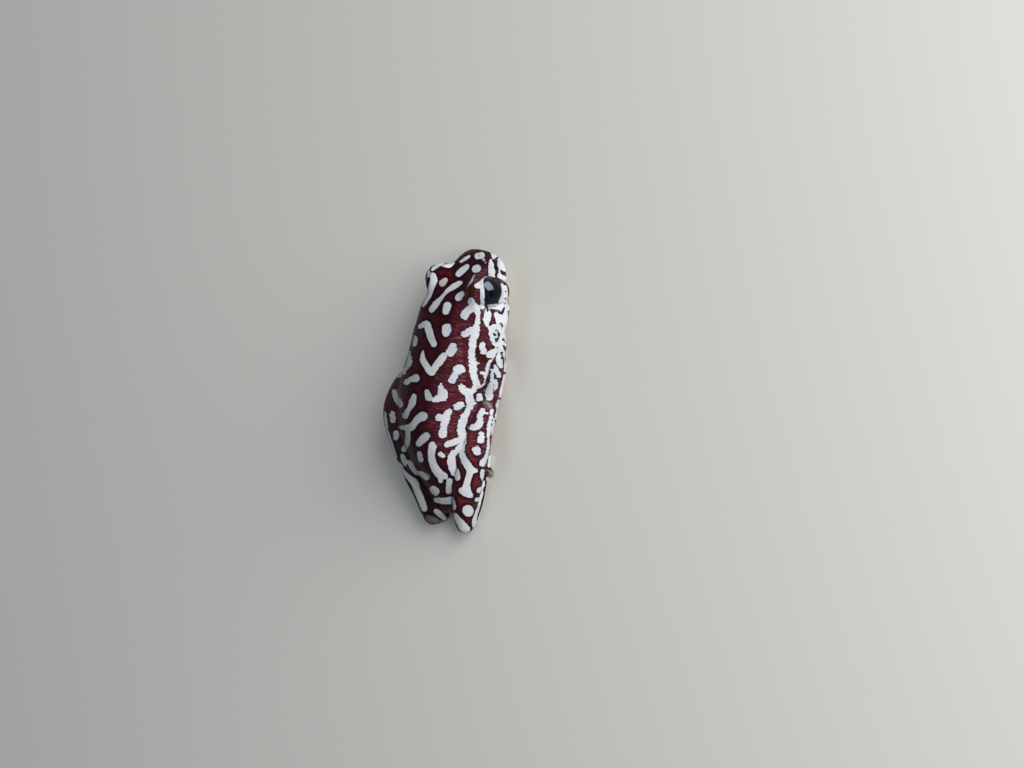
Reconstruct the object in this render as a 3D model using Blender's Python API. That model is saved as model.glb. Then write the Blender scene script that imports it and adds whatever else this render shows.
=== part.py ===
"""Angolan reed frog at rest on a flat surface: a still, life-size museum model.

The frog faces -Y, its back is towards +Z and its right side towards -X.
Sizes below are in millimetres and the model is built in metres.
"behind" is the distance behind the tip of the snout, "across" the distance
from the middle towards the frog's left, and "height" the height above the floor.
"""

import math
from dataclasses import dataclass

import bmesh
import bpy
from mathutils import Matrix, Vector

MM = 0.001

# Whole animal
LENGTH = 34.2
FLESH_GAP = 0.3
BODY_END = 31.9
VENT_LENGTH = 0.3
NECK = 9.4
BOW = 0.95
BOW_DELAY = 1.4
SNOUT_TURN = 0.45

# Eyes and lids
EYE_ACROSS = 4.2
EYE_BEHIND = 4.1
EYE_HEIGHT = 5.0
EYE_RADIUS = 1.8
EYE_FORWARD_DEG = 20.0
EYE_UPWARD_DEG = 14.0
LID_THICKNESS = 0.4
LID_SOFTNESS = 0.36
LID_CAP_RISE = 0.05
EYE_OPENING_LONG = 1.62
EYE_OPENING_TALL = 1.2

# Mouth and nostrils
MOUTH_FRONT_HEIGHT = 2.35
MOUTH_CORNER_HEIGHT = 2.75
MOUTH_CORNER_BEHIND = 8.3
MOUTH_GROOVE_RADIUS = 0.17
UPPER_LIP_RADIUS = 0.3
UPPER_LIP_RISE = 0.33
NOSTRIL_ACROSS = 1.55
NOSTRIL_BEHIND = 0.85
NOSTRIL_RADIUS = 0.2
NOSTRIL_MOUND = 0.42
NOSTRIL_SINK = 0.12

# Mesh fineness
HEAD_AROUND = 44
TORSO_AROUND = 36
HEAD_RINGS = 27
TORSO_RINGS = 22
GROWN_OVERLAP = 1.2
LIMB_AROUND = 14
LIMB_RINGS = 12
DIGIT_AROUND = 8
DIGIT_RINGS = 4
CAP_STEPS = 3
DIGIT_CAP_STEPS = 2


@dataclass(frozen=True)
class Section:
    """One cross-section of the head and trunk."""

    behind: float
    half_width: float
    top: float
    widest: float
    bottom: float
    crown: float
    keel: float


@dataclass(frozen=True)
class Joint:
    """One point on the middle line of a limb, with the flesh around it."""

    across: float
    behind: float
    height: float
    radius: float
    breadth: float = 1.0


BODY_SECTIONS = (
    Section(0.0, 1.5, 3.1, 2.6, 1.95, 2.2, 2.0),
    Section(0.35, 2.7, 3.5, 2.7, 1.65, 2.2, 2.0),
    Section(1.2, 3.7, 4.2, 2.85, 1.4, 2.2, 2.0),
    Section(2.6, 4.55, 5.2, 3.05, 1.25, 2.4, 2.0),
    Section(4.5, 5.6, 6.5, 3.3, 0.95, 2.6, 2.4),
    Section(7.0, 6.2, 7.6, 3.7, 0.95, 2.5, 2.5),
    Section(9.4, 6.3, 8.3, 4.0, 0.8, 2.3, 2.3),
    Section(12.0, 6.1, 8.7, 4.6, -0.2, 2.2, 1.8),
    Section(15.5, 5.8, 9.2, 5.2, -0.9, 2.2, 1.5),
    Section(19.0, 5.3, 9.5, 5.3, -1.1, 2.2, 1.45),
    Section(22.5, 4.6, 9.0, 5.2, -1.1, 2.2, 1.4),
    Section(26.0, 3.6, 7.5, 4.6, -0.5, 2.1, 1.5),
    Section(29.0, 2.3, 5.3, 3.4, 0.7, 2.0, 1.8),
    Section(31.0, 1.3, 3.7, 2.6, 1.5, 2.0, 2.0),
    Section(31.9, 0.7, 2.9, 2.3, 1.8, 2.0, 2.0),
)

SHANKS = {
    "right": (
        Joint(-4.3, 18.9, 3.0, 1.65),
        Joint(-4.35, 22.5, 3.6, 1.8),
        Joint(-3.7, 27.0, 3.4, 1.8),
        Joint(-2.9, 30.6, 2.6, 1.55),
        Joint(-2.4, 33.0, 1.7, 1.2),
    ),
    "left": (
        Joint(7.1, 18.0, 5.0, 2.0),
        Joint(7.6, 20.9, 5.3, 2.35),
        Joint(7.0, 23.8, 4.9, 2.15),
        Joint(5.7, 27.2, 3.9, 1.85),
        Joint(4.35, 30.6, 2.7, 1.5),
        Joint(3.45, 33.3, 1.7, 1.2),
    ),
}

THIGHS = {
    "right": (
        Joint(-1.0, 28.0, 3.2, 1.5),
        Joint(-2.6, 24.4, 2.9, 1.75),
        Joint(-3.6, 20.6, 2.6, 1.5),
    ),
    "left": (
        Joint(2.3, 28.0, 3.2, 1.5),
        Joint(4.4, 24.2, 3.3, 1.85),
        Joint(6.0, 19.4, 3.5, 1.75),
    ),
}

TARSI = {
    "right": (
        Joint(-2.5, 32.4, 0.95, 0.85),
        Joint(-3.1, 29.6, 0.75, 0.72),
        Joint(-3.15, 27.0, 0.65, 0.7),
    ),
    "left": (
        Joint(2.5, 33.0, 0.95, 0.85),
        Joint(4.2, 29.6, 0.75, 0.72),
        Joint(5.2, 26.4, 0.65, 0.7),
    ),
}

UPPER_ARMS = {
    "right": (
        Joint(-5.1, 10.2, 3.5, 1.45),
        Joint(-5.2, 13.4, 3.2, 1.25),
        Joint(-4.5, 16.8, 2.5, 1.05),
    ),
    "left": (
        Joint(5.5, 10.2, 3.6, 1.45),
        Joint(5.8, 13.0, 3.3, 1.3),
        Joint(5.5, 15.9, 2.5, 1.05),
    ),
}

FOREARMS = {
    "right": (
        Joint(-4.1, 17.2, 1.6, 1.0),
        Joint(-3.8, 14.0, 1.2, 1.05),
        Joint(-3.1, 10.9, 0.85, 0.7),
    ),
    "left": (
        Joint(5.2, 16.2, 1.6, 1.0),
        Joint(4.9, 13.6, 1.2, 1.05),
        Joint(3.9, 10.8, 0.85, 0.7),
    ),
}


@dataclass(frozen=True)
class Extremity:
    """A hand or foot lying flat on the floor, with its digits spread from one palm."""

    root_across: float
    root_behind: float
    palm_length: float
    palm_radius: float
    heading_deg: float
    digit_angles: tuple
    digit_lengths: tuple


HANDS = {
    "right": Extremity(-2.8, 10.2, 1.8, 0.6, -24.0, (30.0, 2.0, -24.0, -52.0), (2.0, 2.9, 2.7, 1.9)),
    "left": Extremity(3.8, 10.1, 1.8, 0.6, 26.0, (-30.0, -4.0, 22.0, 48.0), (2.1, 2.9, 2.6, 1.9)),
}
FEET = {
    "right": Extremity(-3.15, 26.3, 1.6, 0.68, -4.0, (150.0, 2.0, -8.0, -22.0, -46.0), (2.0, 6.2, 5.0, 3.6, 2.4)),
    "left": Extremity(5.3, 25.7, 1.8, 0.68, -4.0, (-38.0, -16.0, 0.0, 16.0, 36.0), (3.2, 5.0, 6.4, 4.8, 3.0)),
}
DIGIT_RADIUS = 0.33
DIGIT_HEIGHT = 0.3
PALM_HEIGHT = 0.45
PAD_RADIUS = 0.52
PAD_THICKNESS = 0.34
PAD_HEIGHT = 0.26


def blend(knots, position):
    """Read a smooth curve through (position, value) knots that never overshoots them."""
    last = len(knots) - 1
    if position <= knots[0][0]:
        return knots[0][1]
    if position >= knots[last][0]:
        return knots[last][1]
    steps = [knots[i + 1][0] - knots[i][0] for i in range(last)]
    slopes = [(knots[i + 1][1] - knots[i][1]) / steps[i] for i in range(last)]
    index = max(i for i in range(last) if knots[i][0] <= position)

    def tangent(i):
        """Slope of the curve where it passes knot i."""
        if i in (0, last):
            return slopes[min(i, last - 1)]
        before, after = slopes[i - 1], slopes[i]
        if before * after <= 0.0:
            return 0.0
        weight_a = 2.0 * steps[i] + steps[i - 1]
        weight_b = steps[i] + 2.0 * steps[i - 1]
        return (weight_a + weight_b) / (weight_a / before + weight_b / after)

    step = steps[index]
    t = (position - knots[index][0]) / step
    start, end = knots[index][1], knots[index + 1][1]
    return (
        start * (2.0 * t**3 - 3.0 * t**2 + 1.0)
        + end * (3.0 * t**2 - 2.0 * t**3)
        + tangent(index) * step * (t**3 - 2.0 * t**2 + t)
        + tangent(index + 1) * step * (t**3 - t**2)
    )


def place(across, behind, height):
    """Turn frog measurements into a point of the model, in metres."""
    return Vector((across, behind - LENGTH / 2.0, height)) * MM


def bow_at(behind):
    """Sideways curve of the spine, towards the frog's left."""
    along = min(max(behind / BODY_END, 0.0), 1.0)
    turn = SNOUT_TURN * max(1.0 - behind / NECK, 0.0) ** 2
    return BOW * math.sin(math.pi * along**BOW_DELAY) ** 1.5 - turn


def body_value(name, behind):
    """One measurement of the head and trunk at a distance behind the snout."""
    return blend([(s.behind, getattr(s, name)) for s in BODY_SECTIONS], behind)


def power(value, exponent):
    """Signed power, used for rounded-square outlines."""
    return math.copysign(abs(value) ** exponent, value)


def body_ring(behind, around, grow=0.0):
    """Points round the head and trunk at one distance behind the snout."""
    width = body_value("half_width", behind) + grow
    top = body_value("top", behind) + grow
    widest = body_value("widest", behind)
    bottom = body_value("bottom", behind) - grow
    crown = body_value("crown", behind)
    keel = body_value("keel", behind)
    ring = []
    for step in range(around):
        angle = 2.0 * math.pi * (step + 0.5) / around
        roundness = crown if math.sin(angle) > 0.0 else keel
        reach = top - widest if math.sin(angle) > 0.0 else widest - bottom
        across = width * power(math.cos(angle), 2.0 / roundness)
        height = widest + reach * power(math.sin(angle), 2.0 / roundness)
        ring.append(swell_lids(place(bow_at(behind) + across, behind, max(height, -grow))))
    return ring


def swell_lids(point):
    """Push a point of the head outwards where it lies close to an eye, so that the lids cover it."""
    lid_radius = EYE_RADIUS + FLESH_GAP + LID_THICKNESS
    for side in (-1.0, 1.0):
        away = point - eye_centre(side)
        distance = away.length / MM
        swell = LID_SOFTNESS * math.log1p(math.exp((lid_radius - distance) / LID_SOFTNESS))
        point = point + away.normalized() * swell * MM
    return point


def body_side(behind, height):
    """Distance from the middle line to the skin at one height."""
    width = body_value("half_width", behind)
    widest = body_value("widest", behind)
    above = height > widest
    reach = body_value("top" if above else "bottom", behind) - widest
    roundness = body_value("crown" if above else "keel", behind)
    part = min(abs((height - widest) / reach), 1.0)
    return width * (1.0 - part**roundness) ** (1.0 / roundness)


def body_top(across, behind):
    """Height of the skin above a point, on the upper side."""
    widest = body_value("widest", behind)
    roundness = body_value("crown", behind)
    part = min(abs(across) / body_value("half_width", behind), 1.0)
    return widest + (body_value("top", behind) - widest) * (1.0 - part**roundness) ** (1.0 / roundness)


def new_object(name, bm):
    """Finish a mesh and put it in the scene."""
    bmesh.ops.recalc_face_normals(bm, faces=bm.faces)
    mesh = bpy.data.meshes.new(name)
    bm.to_mesh(mesh)
    bm.free()
    made = bpy.data.objects.new(name, mesh)
    bpy.context.scene.collection.objects.link(made)
    return made


def skin_rings(name, rings, start=None, end=None):
    """Join rings of points into one closed body, closed by a point or a flat face at each end."""
    bm = bmesh.new()
    loops = [[bm.verts.new(point) for point in ring] for ring in rings]
    around = len(loops[0])
    for here, there in zip(loops, loops[1:]):
        for i in range(around):
            following = (i + 1) % around
            bm.faces.new((here[i], here[following], there[following], there[i]))
    for loop, tip in ((loops[0], start), (loops[-1], end)):
        if tip is None:
            bm.faces.new(loop)
            continue
        point = bm.verts.new(tip)
        for i in range(around):
            bm.faces.new((loop[i], loop[(i + 1) % around], point))
    return new_object(name, bm)


def spread(first, last, count, crowding=1.0):
    """Evenly spaced values, crowded towards the first where crowding is above one."""
    return [first + (last - first) * (i / (count - 1)) ** crowding for i in range(count)]


def limb(name, joints, grow=0.0, around=LIMB_AROUND, rings=LIMB_RINGS, cap_steps=CAP_STEPS):
    """Round limb through its joints, with rounded ends, thicker by grow all over."""
    distances = [0.0]
    for here, there in zip(joints, joints[1:]):
        step = place(there.across, there.behind, there.height) - place(here.across, here.behind, here.height)
        distances.append(distances[-1] + step.length)

    def value(field, distance):
        """One measurement of the limb at a distance along it."""
        return blend([(d, getattr(j, field)) for d, j in zip(distances, joints)], distance)

    def middle(distance):
        """Middle of the limb at a distance along it."""
        return place(*(value(field, distance) for field in ("across", "behind", "height")))

    nudge = distances[-1] * 0.01
    outline = []
    for distance in spread(0.0, distances[-1], rings):
        heading = (middle(distance + nudge) - middle(distance - nudge)).normalized()
        outline.append((middle(distance), heading, value("radius", distance) + grow, value("breadth", distance)))
    first, last = outline[0], outline[-1]
    start_cap = []
    end_cap = []
    for step in range(1, cap_steps):
        turn = 0.5 * math.pi * step / cap_steps
        out, shrink = math.sin(turn), math.cos(turn)
        start_cap.insert(0, (first[0] - first[1] * first[2] * MM * out, first[1], first[2] * shrink, first[3]))
        end_cap.append((last[0] + last[1] * last[2] * MM * out, last[1], last[2] * shrink, last[3]))
    loops = []
    for centre, heading, radius, breadth in start_cap + outline + end_cap:
        side = heading.cross(Vector((0.0, 0.0, 1.0))).normalized()
        upward = side.cross(heading).normalized()
        loop = []
        for step in range(around):
            angle = 2.0 * math.pi * step / around
            loop.append(centre + (side * math.cos(angle) * breadth + upward * math.sin(angle)) * radius * MM)
        loops.append(loop)
    start = first[0] - first[1] * first[2] * MM
    end = last[0] + last[1] * last[2] * MM
    return skin_rings(name, loops, start, end)


def ball(name, centre, radii, turn=None, around=24, rings=16):
    """Rounded body with three half-widths in millimetres."""
    bm = bmesh.new()
    bmesh.ops.create_uvsphere(bm, u_segments=around, v_segments=rings, radius=1.0)
    scale = Matrix.Diagonal((*(r * MM for r in radii), 1.0))
    rotation = turn.to_4x4() if turn else Matrix.Identity(4)
    bm.transform(Matrix.Translation(centre) @ rotation @ scale)
    return new_object(name, bm)


def combine(target, others, operation):
    """Join others to the target or cut them out of it, and remove them."""
    group = bpy.data.collections.new(f"{target.name}_{operation.lower()}")
    bpy.context.scene.collection.children.link(group)
    for other in others:
        bpy.context.scene.collection.objects.unlink(other)
        group.objects.link(other)
        other.hide_render = True
        other.display_type = "WIRE"
    modifier = target.modifiers.new(operation.title(), "BOOLEAN")
    modifier.operation = operation
    modifier.operand_type = "COLLECTION"
    modifier.collection = group
    modifier.solver = "EXACT"
    evaluated = target.evaluated_get(bpy.context.evaluated_depsgraph_get())
    mesh = bpy.data.meshes.new_from_object(evaluated)
    target.modifiers.clear()
    target.data = mesh
    for other in others:
        bpy.data.objects.remove(other)
    bpy.data.collections.remove(group)
    return target


def keep_largest(target):
    """Keep only the largest closed surface of a node."""
    bm = bmesh.new()
    bm.from_mesh(target.data)
    bmesh.ops.remove_doubles(bm, verts=bm.verts, dist=0.001 * MM)
    bmesh.ops.dissolve_degenerate(bm, edges=bm.edges, dist=0.001 * MM)
    pieces = []
    unseen = set(bm.faces)
    while unseen:
        piece = [unseen.pop()]
        for face in piece:
            for edge in face.edges:
                for neighbour in edge.link_faces:
                    if neighbour in unseen:
                        unseen.remove(neighbour)
                        piece.append(neighbour)
        pieces.append(piece)
    pieces.sort(key=lambda faces: sum(face.calc_area() for face in faces))
    spare = [face for piece in pieces[:-1] for face in piece]
    bmesh.ops.delete(bm, geom=spare, context="FACES")
    bm.to_mesh(target.data)
    bm.free()
    return target


def floor_block():
    """Block under the floor, used to give resting parts a flat underside."""
    bm = bmesh.new()
    bmesh.ops.create_cube(bm, size=2.0)
    bm.transform(Matrix.Diagonal((LENGTH * MM, LENGTH * MM, 2.0 * MM, 1.0)))
    bm.transform(Matrix.Translation((0.0, 0.0, -2.0 * MM)))
    return new_object("floor_block", bm)


def eye_centre(side):
    """Middle of an eyeball, with side +1 for the left and -1 for the right."""
    return place(side * EYE_ACROSS + bow_at(EYE_BEHIND), EYE_BEHIND, EYE_HEIGHT)


def eye_turn(side):
    """Rotation that takes +Z to the way the eye looks and +X to its front-to-back line."""
    forward = math.radians(EYE_FORWARD_DEG)
    upward = math.radians(EYE_UPWARD_DEG)
    level = math.cos(upward)
    gaze = Vector((side * level * math.cos(forward), -level * math.sin(forward), math.sin(upward)))
    along = gaze.cross(Vector((0.0, 0.0, 1.0))).normalized()
    return Matrix((along, gaze.cross(along), gaze)).transposed()


def eye_opening(side):
    """Oval plug that opens the lids in front of the eyeball."""
    turn = eye_turn(side)
    centre = eye_centre(side)
    loops = []
    for depth in (0.35 * EYE_RADIUS, 3.0 * EYE_RADIUS):
        loop = []
        for step in range(36):
            angle = 2.0 * math.pi * step / 36
            loop.append(
                centre
                + turn @ Vector((EYE_OPENING_LONG * math.cos(angle), EYE_OPENING_TALL * math.sin(angle), depth)) * MM
            )
        loops.append(loop)
    return skin_rings("opening", loops)


def lip_line(name, radius, rise, corner):
    """Round line that follows the mouth from one corner round the snout to the other."""
    half = []
    for behind in spread(0.0, corner, 16, 1.6):
        along = behind / MOUTH_CORNER_BEHIND
        height = MOUTH_FRONT_HEIGHT + (MOUTH_CORNER_HEIGHT - MOUTH_FRONT_HEIGHT) * along + rise
        half.append((body_side(behind, height), behind, height, radius * (1.0 - 0.25 * along)))
    line = [Joint(bow_at(b) - x, b, h, r) for x, b, h, r in reversed(half)]
    line += [Joint(bow_at(b) + x, b, h, r) for x, b, h, r in half]
    return limb(name, line, around=6, rings=40)


def make_head():
    """Head with lids, lips, mouth line and nostrils."""
    rings = [body_ring(behind, HEAD_AROUND) for behind in spread(0.0, NECK - FLESH_GAP / 2.0, HEAD_RINGS, 1.3)]
    head = skin_rings("head", rings)
    added = [lip_line("upper_lip", UPPER_LIP_RADIUS, UPPER_LIP_RISE, MOUTH_CORNER_BEHIND)]
    removed = [lip_line("mouth", MOUTH_GROOVE_RADIUS, 0.0, MOUTH_CORNER_BEHIND)]
    for side in (-1.0, 1.0):
        socket_radius = EYE_RADIUS + FLESH_GAP
        lid_radius = socket_radius + LID_THICKNESS + LID_CAP_RISE
        added.append(ball("lid", eye_centre(side), (lid_radius,) * 3, eye_turn(side), 24, 16))
        removed.append(ball("socket", eye_centre(side), (socket_radius,) * 3, eye_turn(side), 18, 12))
        removed.append(eye_opening(side))
        middle = bow_at(NOSTRIL_BEHIND)
        across = side * NOSTRIL_ACROSS
        surface = body_top(across, NOSTRIL_BEHIND)
        mound = place(middle + across, NOSTRIL_BEHIND, surface - NOSTRIL_SINK)
        outward = (mound - place(middle, NOSTRIL_BEHIND * 2.0, MOUTH_FRONT_HEIGHT)).normalized()
        added.append(ball("nostril_mound", mound, (NOSTRIL_MOUND,) * 3, None, 12, 8))
        removed.append(ball("nostril", mound + outward * NOSTRIL_MOUND * MM, (NOSTRIL_RADIUS,) * 3, None, 10, 8))
    combine(head, added, "UNION")
    combine(head, removed, "DIFFERENCE")
    return keep_largest(head)


def make_torso():
    """Trunk from neck to vent, with a flat belly on the floor."""
    rings = [body_ring(b, TORSO_AROUND) for b in spread(NECK + FLESH_GAP / 2.0, BODY_END, TORSO_RINGS)]
    return skin_rings("torso", rings, None, vent_tip(0.0))


def vent_tip(grow):
    """Hindmost point of the trunk."""
    return place(0.0, BODY_END + VENT_LENGTH + grow, body_value("widest", BODY_END))


def make_grown_torso():
    """Trunk outline with the flesh gap added, used to keep the limbs clear of it."""
    rings = [body_ring(b, TORSO_AROUND, FLESH_GAP) for b in spread(NECK - GROWN_OVERLAP, BODY_END, TORSO_RINGS)]
    return skin_rings("grown_torso", rings, None, vent_tip(FLESH_GAP))


def make_grown_head():
    """Head outline with the flesh gap added, used to keep the hands clear of it."""
    rings = [body_ring(behind, TORSO_AROUND, FLESH_GAP) for behind in spread(0.0, NECK + FLESH_GAP, HEAD_RINGS, 1.3)]
    return skin_rings("grown_head", rings)


def cut_clear(node, cutters):
    """Trim a node clear of its neighbours and keep its body."""
    combine(node, cutters, "DIFFERENCE")
    return keep_largest(node)


def make_extremity(name, plan, digit_radius, cutters):
    """Hand or foot: a palm, its digits and their round pads, flat on the floor."""
    heading = math.radians(plan.heading_deg)

    def ahead(across, behind, angle, distance):
        """Point at a distance from another, at an angle from straight ahead."""
        return across - math.sin(angle) * distance, behind - math.cos(angle) * distance

    knuckle = ahead(plan.root_across, plan.root_behind, heading, plan.palm_length)
    palm = limb(
        name,
        (
            Joint(plan.root_across, plan.root_behind, PALM_HEIGHT + 0.1, plan.palm_radius * 0.85),
            Joint(knuckle[0], knuckle[1], PALM_HEIGHT, plan.palm_radius, 1.25),
        ),
        around=12,
        rings=5,
    )
    pieces = []
    for angle_deg, length in zip(plan.digit_angles, plan.digit_lengths):
        angle = heading + math.radians(angle_deg)
        tip = ahead(*knuckle, angle, length)
        bend = ahead(*knuckle, angle, length * 0.55)
        joints = (
            Joint(knuckle[0], knuckle[1], PALM_HEIGHT, digit_radius),
            Joint(bend[0], bend[1], DIGIT_HEIGHT + 0.12, digit_radius),
            Joint(tip[0], tip[1], DIGIT_HEIGHT, digit_radius * 0.85),
        )
        pieces.append(limb("digit", joints, 0.0, DIGIT_AROUND, DIGIT_RINGS, DIGIT_CAP_STEPS))
        pad = place(tip[0], tip[1], PAD_HEIGHT)
        pieces.append(ball("pad", pad, (PAD_RADIUS, PAD_RADIUS, PAD_THICKNESS), None, 10, 6))
    combine(palm, pieces, "UNION")
    return cut_clear(palm, cutters + [floor_block()])


def dress(node, colour, roughness):
    """Give a node smooth shading and a material of its own."""
    material = bpy.data.materials.new(f"{node.name}_surface")
    material.use_nodes = True
    shader = material.node_tree.nodes["Principled BSDF"]
    shader.inputs["Base Color"].default_value = (*colour, 1.0)
    shader.inputs["Roughness"].default_value = roughness
    node.data.materials.clear()
    node.data.materials.append(material)
    for polygon in node.data.polygons:
        polygon.use_smooth = True
        polygon.material_index = 0


def settle(nodes):
    """Move the whole frog so that its box stands centred on the origin, on the floor."""
    points = [vertex.co for node in nodes for vertex in node.data.vertices]
    low = [min(point[i] for point in points) for i in range(3)]
    high = [max(point[i] for point in points) for i in range(3)]
    shift = Vector((-(low[0] + high[0]) / 2.0, -(low[1] + high[1]) / 2.0, -low[2]))
    for node in nodes:
        node.data.transform(Matrix.Translation(shift))


SKIN_COLOUR = (0.09, 0.014, 0.02)
LEG_COLOUR = (0.14, 0.025, 0.015)
EYE_COLOUR = (0.01, 0.012, 0.008)


def build():
    """Build every node of the frog."""
    for old in list(bpy.data.objects):
        bpy.data.objects.remove(old)
    skins = [make_head(), make_torso()]
    legs = []
    eyes = []
    for side_name, side in (("right", -1.0), ("left", 1.0)):
        radii = (EYE_RADIUS,) * 3
        eyes.append(ball(f"eye_{side_name}", eye_centre(side), radii, eye_turn(side), 24, 16))

        def grown(part, table, side_name=side_name):
            """Limb part thickened by the gap, used to trim its neighbours."""
            return limb(f"grown_{part}", table[side_name], FLESH_GAP)

        shank = limb(f"shank_{side_name}", SHANKS[side_name])
        legs.append(cut_clear(shank, [make_grown_torso()]))

        thigh = limb(f"thigh_{side_name}", THIGHS[side_name])
        legs.append(cut_clear(thigh, [make_grown_torso(), grown("shank", SHANKS)]))

        tarsus = limb(f"tarsus_{side_name}", TARSI[side_name], around=12, rings=8)
        clear_of = [make_grown_torso(), grown("shank", SHANKS), grown("thigh", THIGHS)]
        legs.append(cut_clear(tarsus, clear_of + [floor_block()]))

        clear_of = [make_grown_torso(), grown("shank", SHANKS), grown("thigh", THIGHS)]
        clear_of += [grown("tarsus", TARSI), grown("forearm", FOREARMS)]
        legs.append(make_extremity(f"foot_{side_name}", FEET[side_name], DIGIT_RADIUS, clear_of))

        upper_arm = limb(f"upper_arm_{side_name}", UPPER_ARMS[side_name])
        clear_of = [make_grown_torso(), make_grown_head(), grown("shank", SHANKS)]
        skins.append(cut_clear(upper_arm, clear_of))

        forearm = limb(f"forearm_{side_name}", FOREARMS[side_name])
        clear_of = [make_grown_torso(), grown("upper_arm", UPPER_ARMS), grown("shank", SHANKS)]
        skins.append(cut_clear(forearm, clear_of + [grown("thigh", THIGHS), floor_block()]))

        clear_of = [make_grown_torso(), make_grown_head(), grown("forearm", FOREARMS)]
        legs.append(make_extremity(f"hand_{side_name}", HANDS[side_name], DIGIT_RADIUS, clear_of))
    for node in skins:
        dress(node, SKIN_COLOUR, 0.45)
    for node in legs:
        dress(node, LEG_COLOUR, 0.45)
    for node in eyes:
        dress(node, EYE_COLOUR, 0.08)
    settle(skins + legs + eyes)


build()
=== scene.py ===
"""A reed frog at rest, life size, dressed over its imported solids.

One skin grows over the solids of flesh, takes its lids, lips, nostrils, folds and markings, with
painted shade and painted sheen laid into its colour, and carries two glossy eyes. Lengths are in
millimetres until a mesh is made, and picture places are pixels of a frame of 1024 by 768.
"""

import logging
import math
from dataclasses import dataclass
from enum import Enum, auto
from functools import cache
from itertools import product

import bmesh
import bpy
import numpy as np
from mathutils import Matrix, Vector, noise
from mathutils.bvhtree import BVHTree
from mathutils.kdtree import KDTree


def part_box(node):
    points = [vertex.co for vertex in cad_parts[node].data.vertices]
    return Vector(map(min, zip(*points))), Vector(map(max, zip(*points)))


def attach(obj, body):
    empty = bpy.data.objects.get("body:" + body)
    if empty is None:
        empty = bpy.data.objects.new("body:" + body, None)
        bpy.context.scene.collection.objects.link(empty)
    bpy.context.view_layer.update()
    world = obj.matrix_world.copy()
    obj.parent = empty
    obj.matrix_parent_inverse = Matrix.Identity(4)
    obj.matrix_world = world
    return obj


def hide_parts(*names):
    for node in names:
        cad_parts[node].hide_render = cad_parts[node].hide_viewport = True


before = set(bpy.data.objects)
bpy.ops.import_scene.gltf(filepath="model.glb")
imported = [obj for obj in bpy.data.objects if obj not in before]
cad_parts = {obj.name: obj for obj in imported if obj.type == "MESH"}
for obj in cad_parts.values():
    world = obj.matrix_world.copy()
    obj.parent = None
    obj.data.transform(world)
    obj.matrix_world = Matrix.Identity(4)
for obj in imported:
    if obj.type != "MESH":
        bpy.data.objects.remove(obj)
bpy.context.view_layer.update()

MM = 0.001
BODY = "root"
SIDES = ("left", "right")
UP = np.array((0.0, 0.0, 1.0))
FAR_AWAY = 99.0
TINY = 1e-9

Band = tuple[float, float]
Point = tuple[float, float, float]
Colour = tuple[float, float, float, float]
Window = tuple[slice, slice, slice]

log = logging.getLogger("reed_frog")


def linear(red: int, green: int, blue: int) -> Colour:
    """Turn a colour as a screen shows it, 0 to 255 a channel, into the linear colour of a shader.

    Args:
        red: Red as shown.
        green: Green as shown.
        blue: Blue as shown.

    Returns:
        The linear colour with full alpha.
    """
    parts = (channel / 255 for channel in (red, green, blue))
    return (*(c / 12.92 if c <= 0.04045 else ((c + 0.055) / 1.055) ** 2.4 for c in parts), 1.0)


def smooth_step(values: np.ndarray, low: float, high: float) -> np.ndarray:
    """Ease from 0 at low to 1 at high.

    Args:
        values: Numbers to ease.
        low: Where the result leaves 0.
        high: Where the result reaches 1, above or below low.

    Returns:
        Numbers from 0 to 1.
    """
    t = np.clip((values - low) / (high - low), 0.0, 1.0)
    return t * t * (3 - 2 * t)


def eased(*measures: tuple[np.ndarray, Band]) -> np.ndarray:
    """Ease each measure over its band, and multiply the results."""
    return math.prod(smooth_step(values, *band) for values, band in measures)


def fillet(first: np.ndarray, second: np.ndarray, blend: float, step: float) -> np.ndarray:
    """Join two distance fields, with a fillet where their surfaces meet at an angle.

    Args:
        first: Distances to one shape.
        second: Distances to the other.
        blend: How far apart the two may be and still run together, in millimetres.
        step: Distance between grid points.

    Returns:
        Distances to both shapes together.
    """
    slopes = zip(np.gradient(first, step), np.gradient(second, step))
    alike = np.clip(sum(a * b for a, b in slopes), 0, 1)
    nearness = np.maximum(blend - np.abs(first - second), 0.0) / blend
    return np.minimum(first, second) - nearness * nearness * blend / 4 * (1 - alike)


def unit(vector: np.ndarray) -> np.ndarray:
    """Scale vectors to length 1 along their last axis."""
    return vector / np.linalg.norm(vector, axis=-1, keepdims=True)


@cache
def node_box(name: str) -> tuple[np.ndarray, np.ndarray]:
    """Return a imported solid's lowest and highest corners in millimetres."""
    low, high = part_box(name)
    return np.array(low) / MM, np.array(high) / MM


def read_rows(items: bpy.types.bpy_prop_collection, name: str, kind: type = float) -> np.ndarray:
    """Read three numbers from each corner or triangle of a mesh.

    Args:
        items: The mesh's corners or triangles.
        name: The property that holds the numbers.
        kind: Their type.

    Returns:
        A row for each item.
    """
    rows = np.empty(len(items) * 3, kind)
    items.foreach_get(name, rows)
    return rows.reshape(-1, 3)


def node_mesh(name: str) -> tuple[np.ndarray, np.ndarray]:
    """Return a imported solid's corners in millimetres and its triangles."""
    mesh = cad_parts[name].data
    mesh.calc_loop_triangles()
    return read_rows(mesh.vertices, "co") / MM, read_rows(mesh.loop_triangles, "vertices", np.int64)


def plain_mesh(name: str, corners: np.ndarray, faces: list) -> bpy.types.Mesh:
    """Make a mesh from corners and from faces as corner numbers."""
    mesh = bpy.data.meshes.new(name)
    mesh.from_pydata(corners.tolist(), [], faces)
    return mesh


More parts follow.
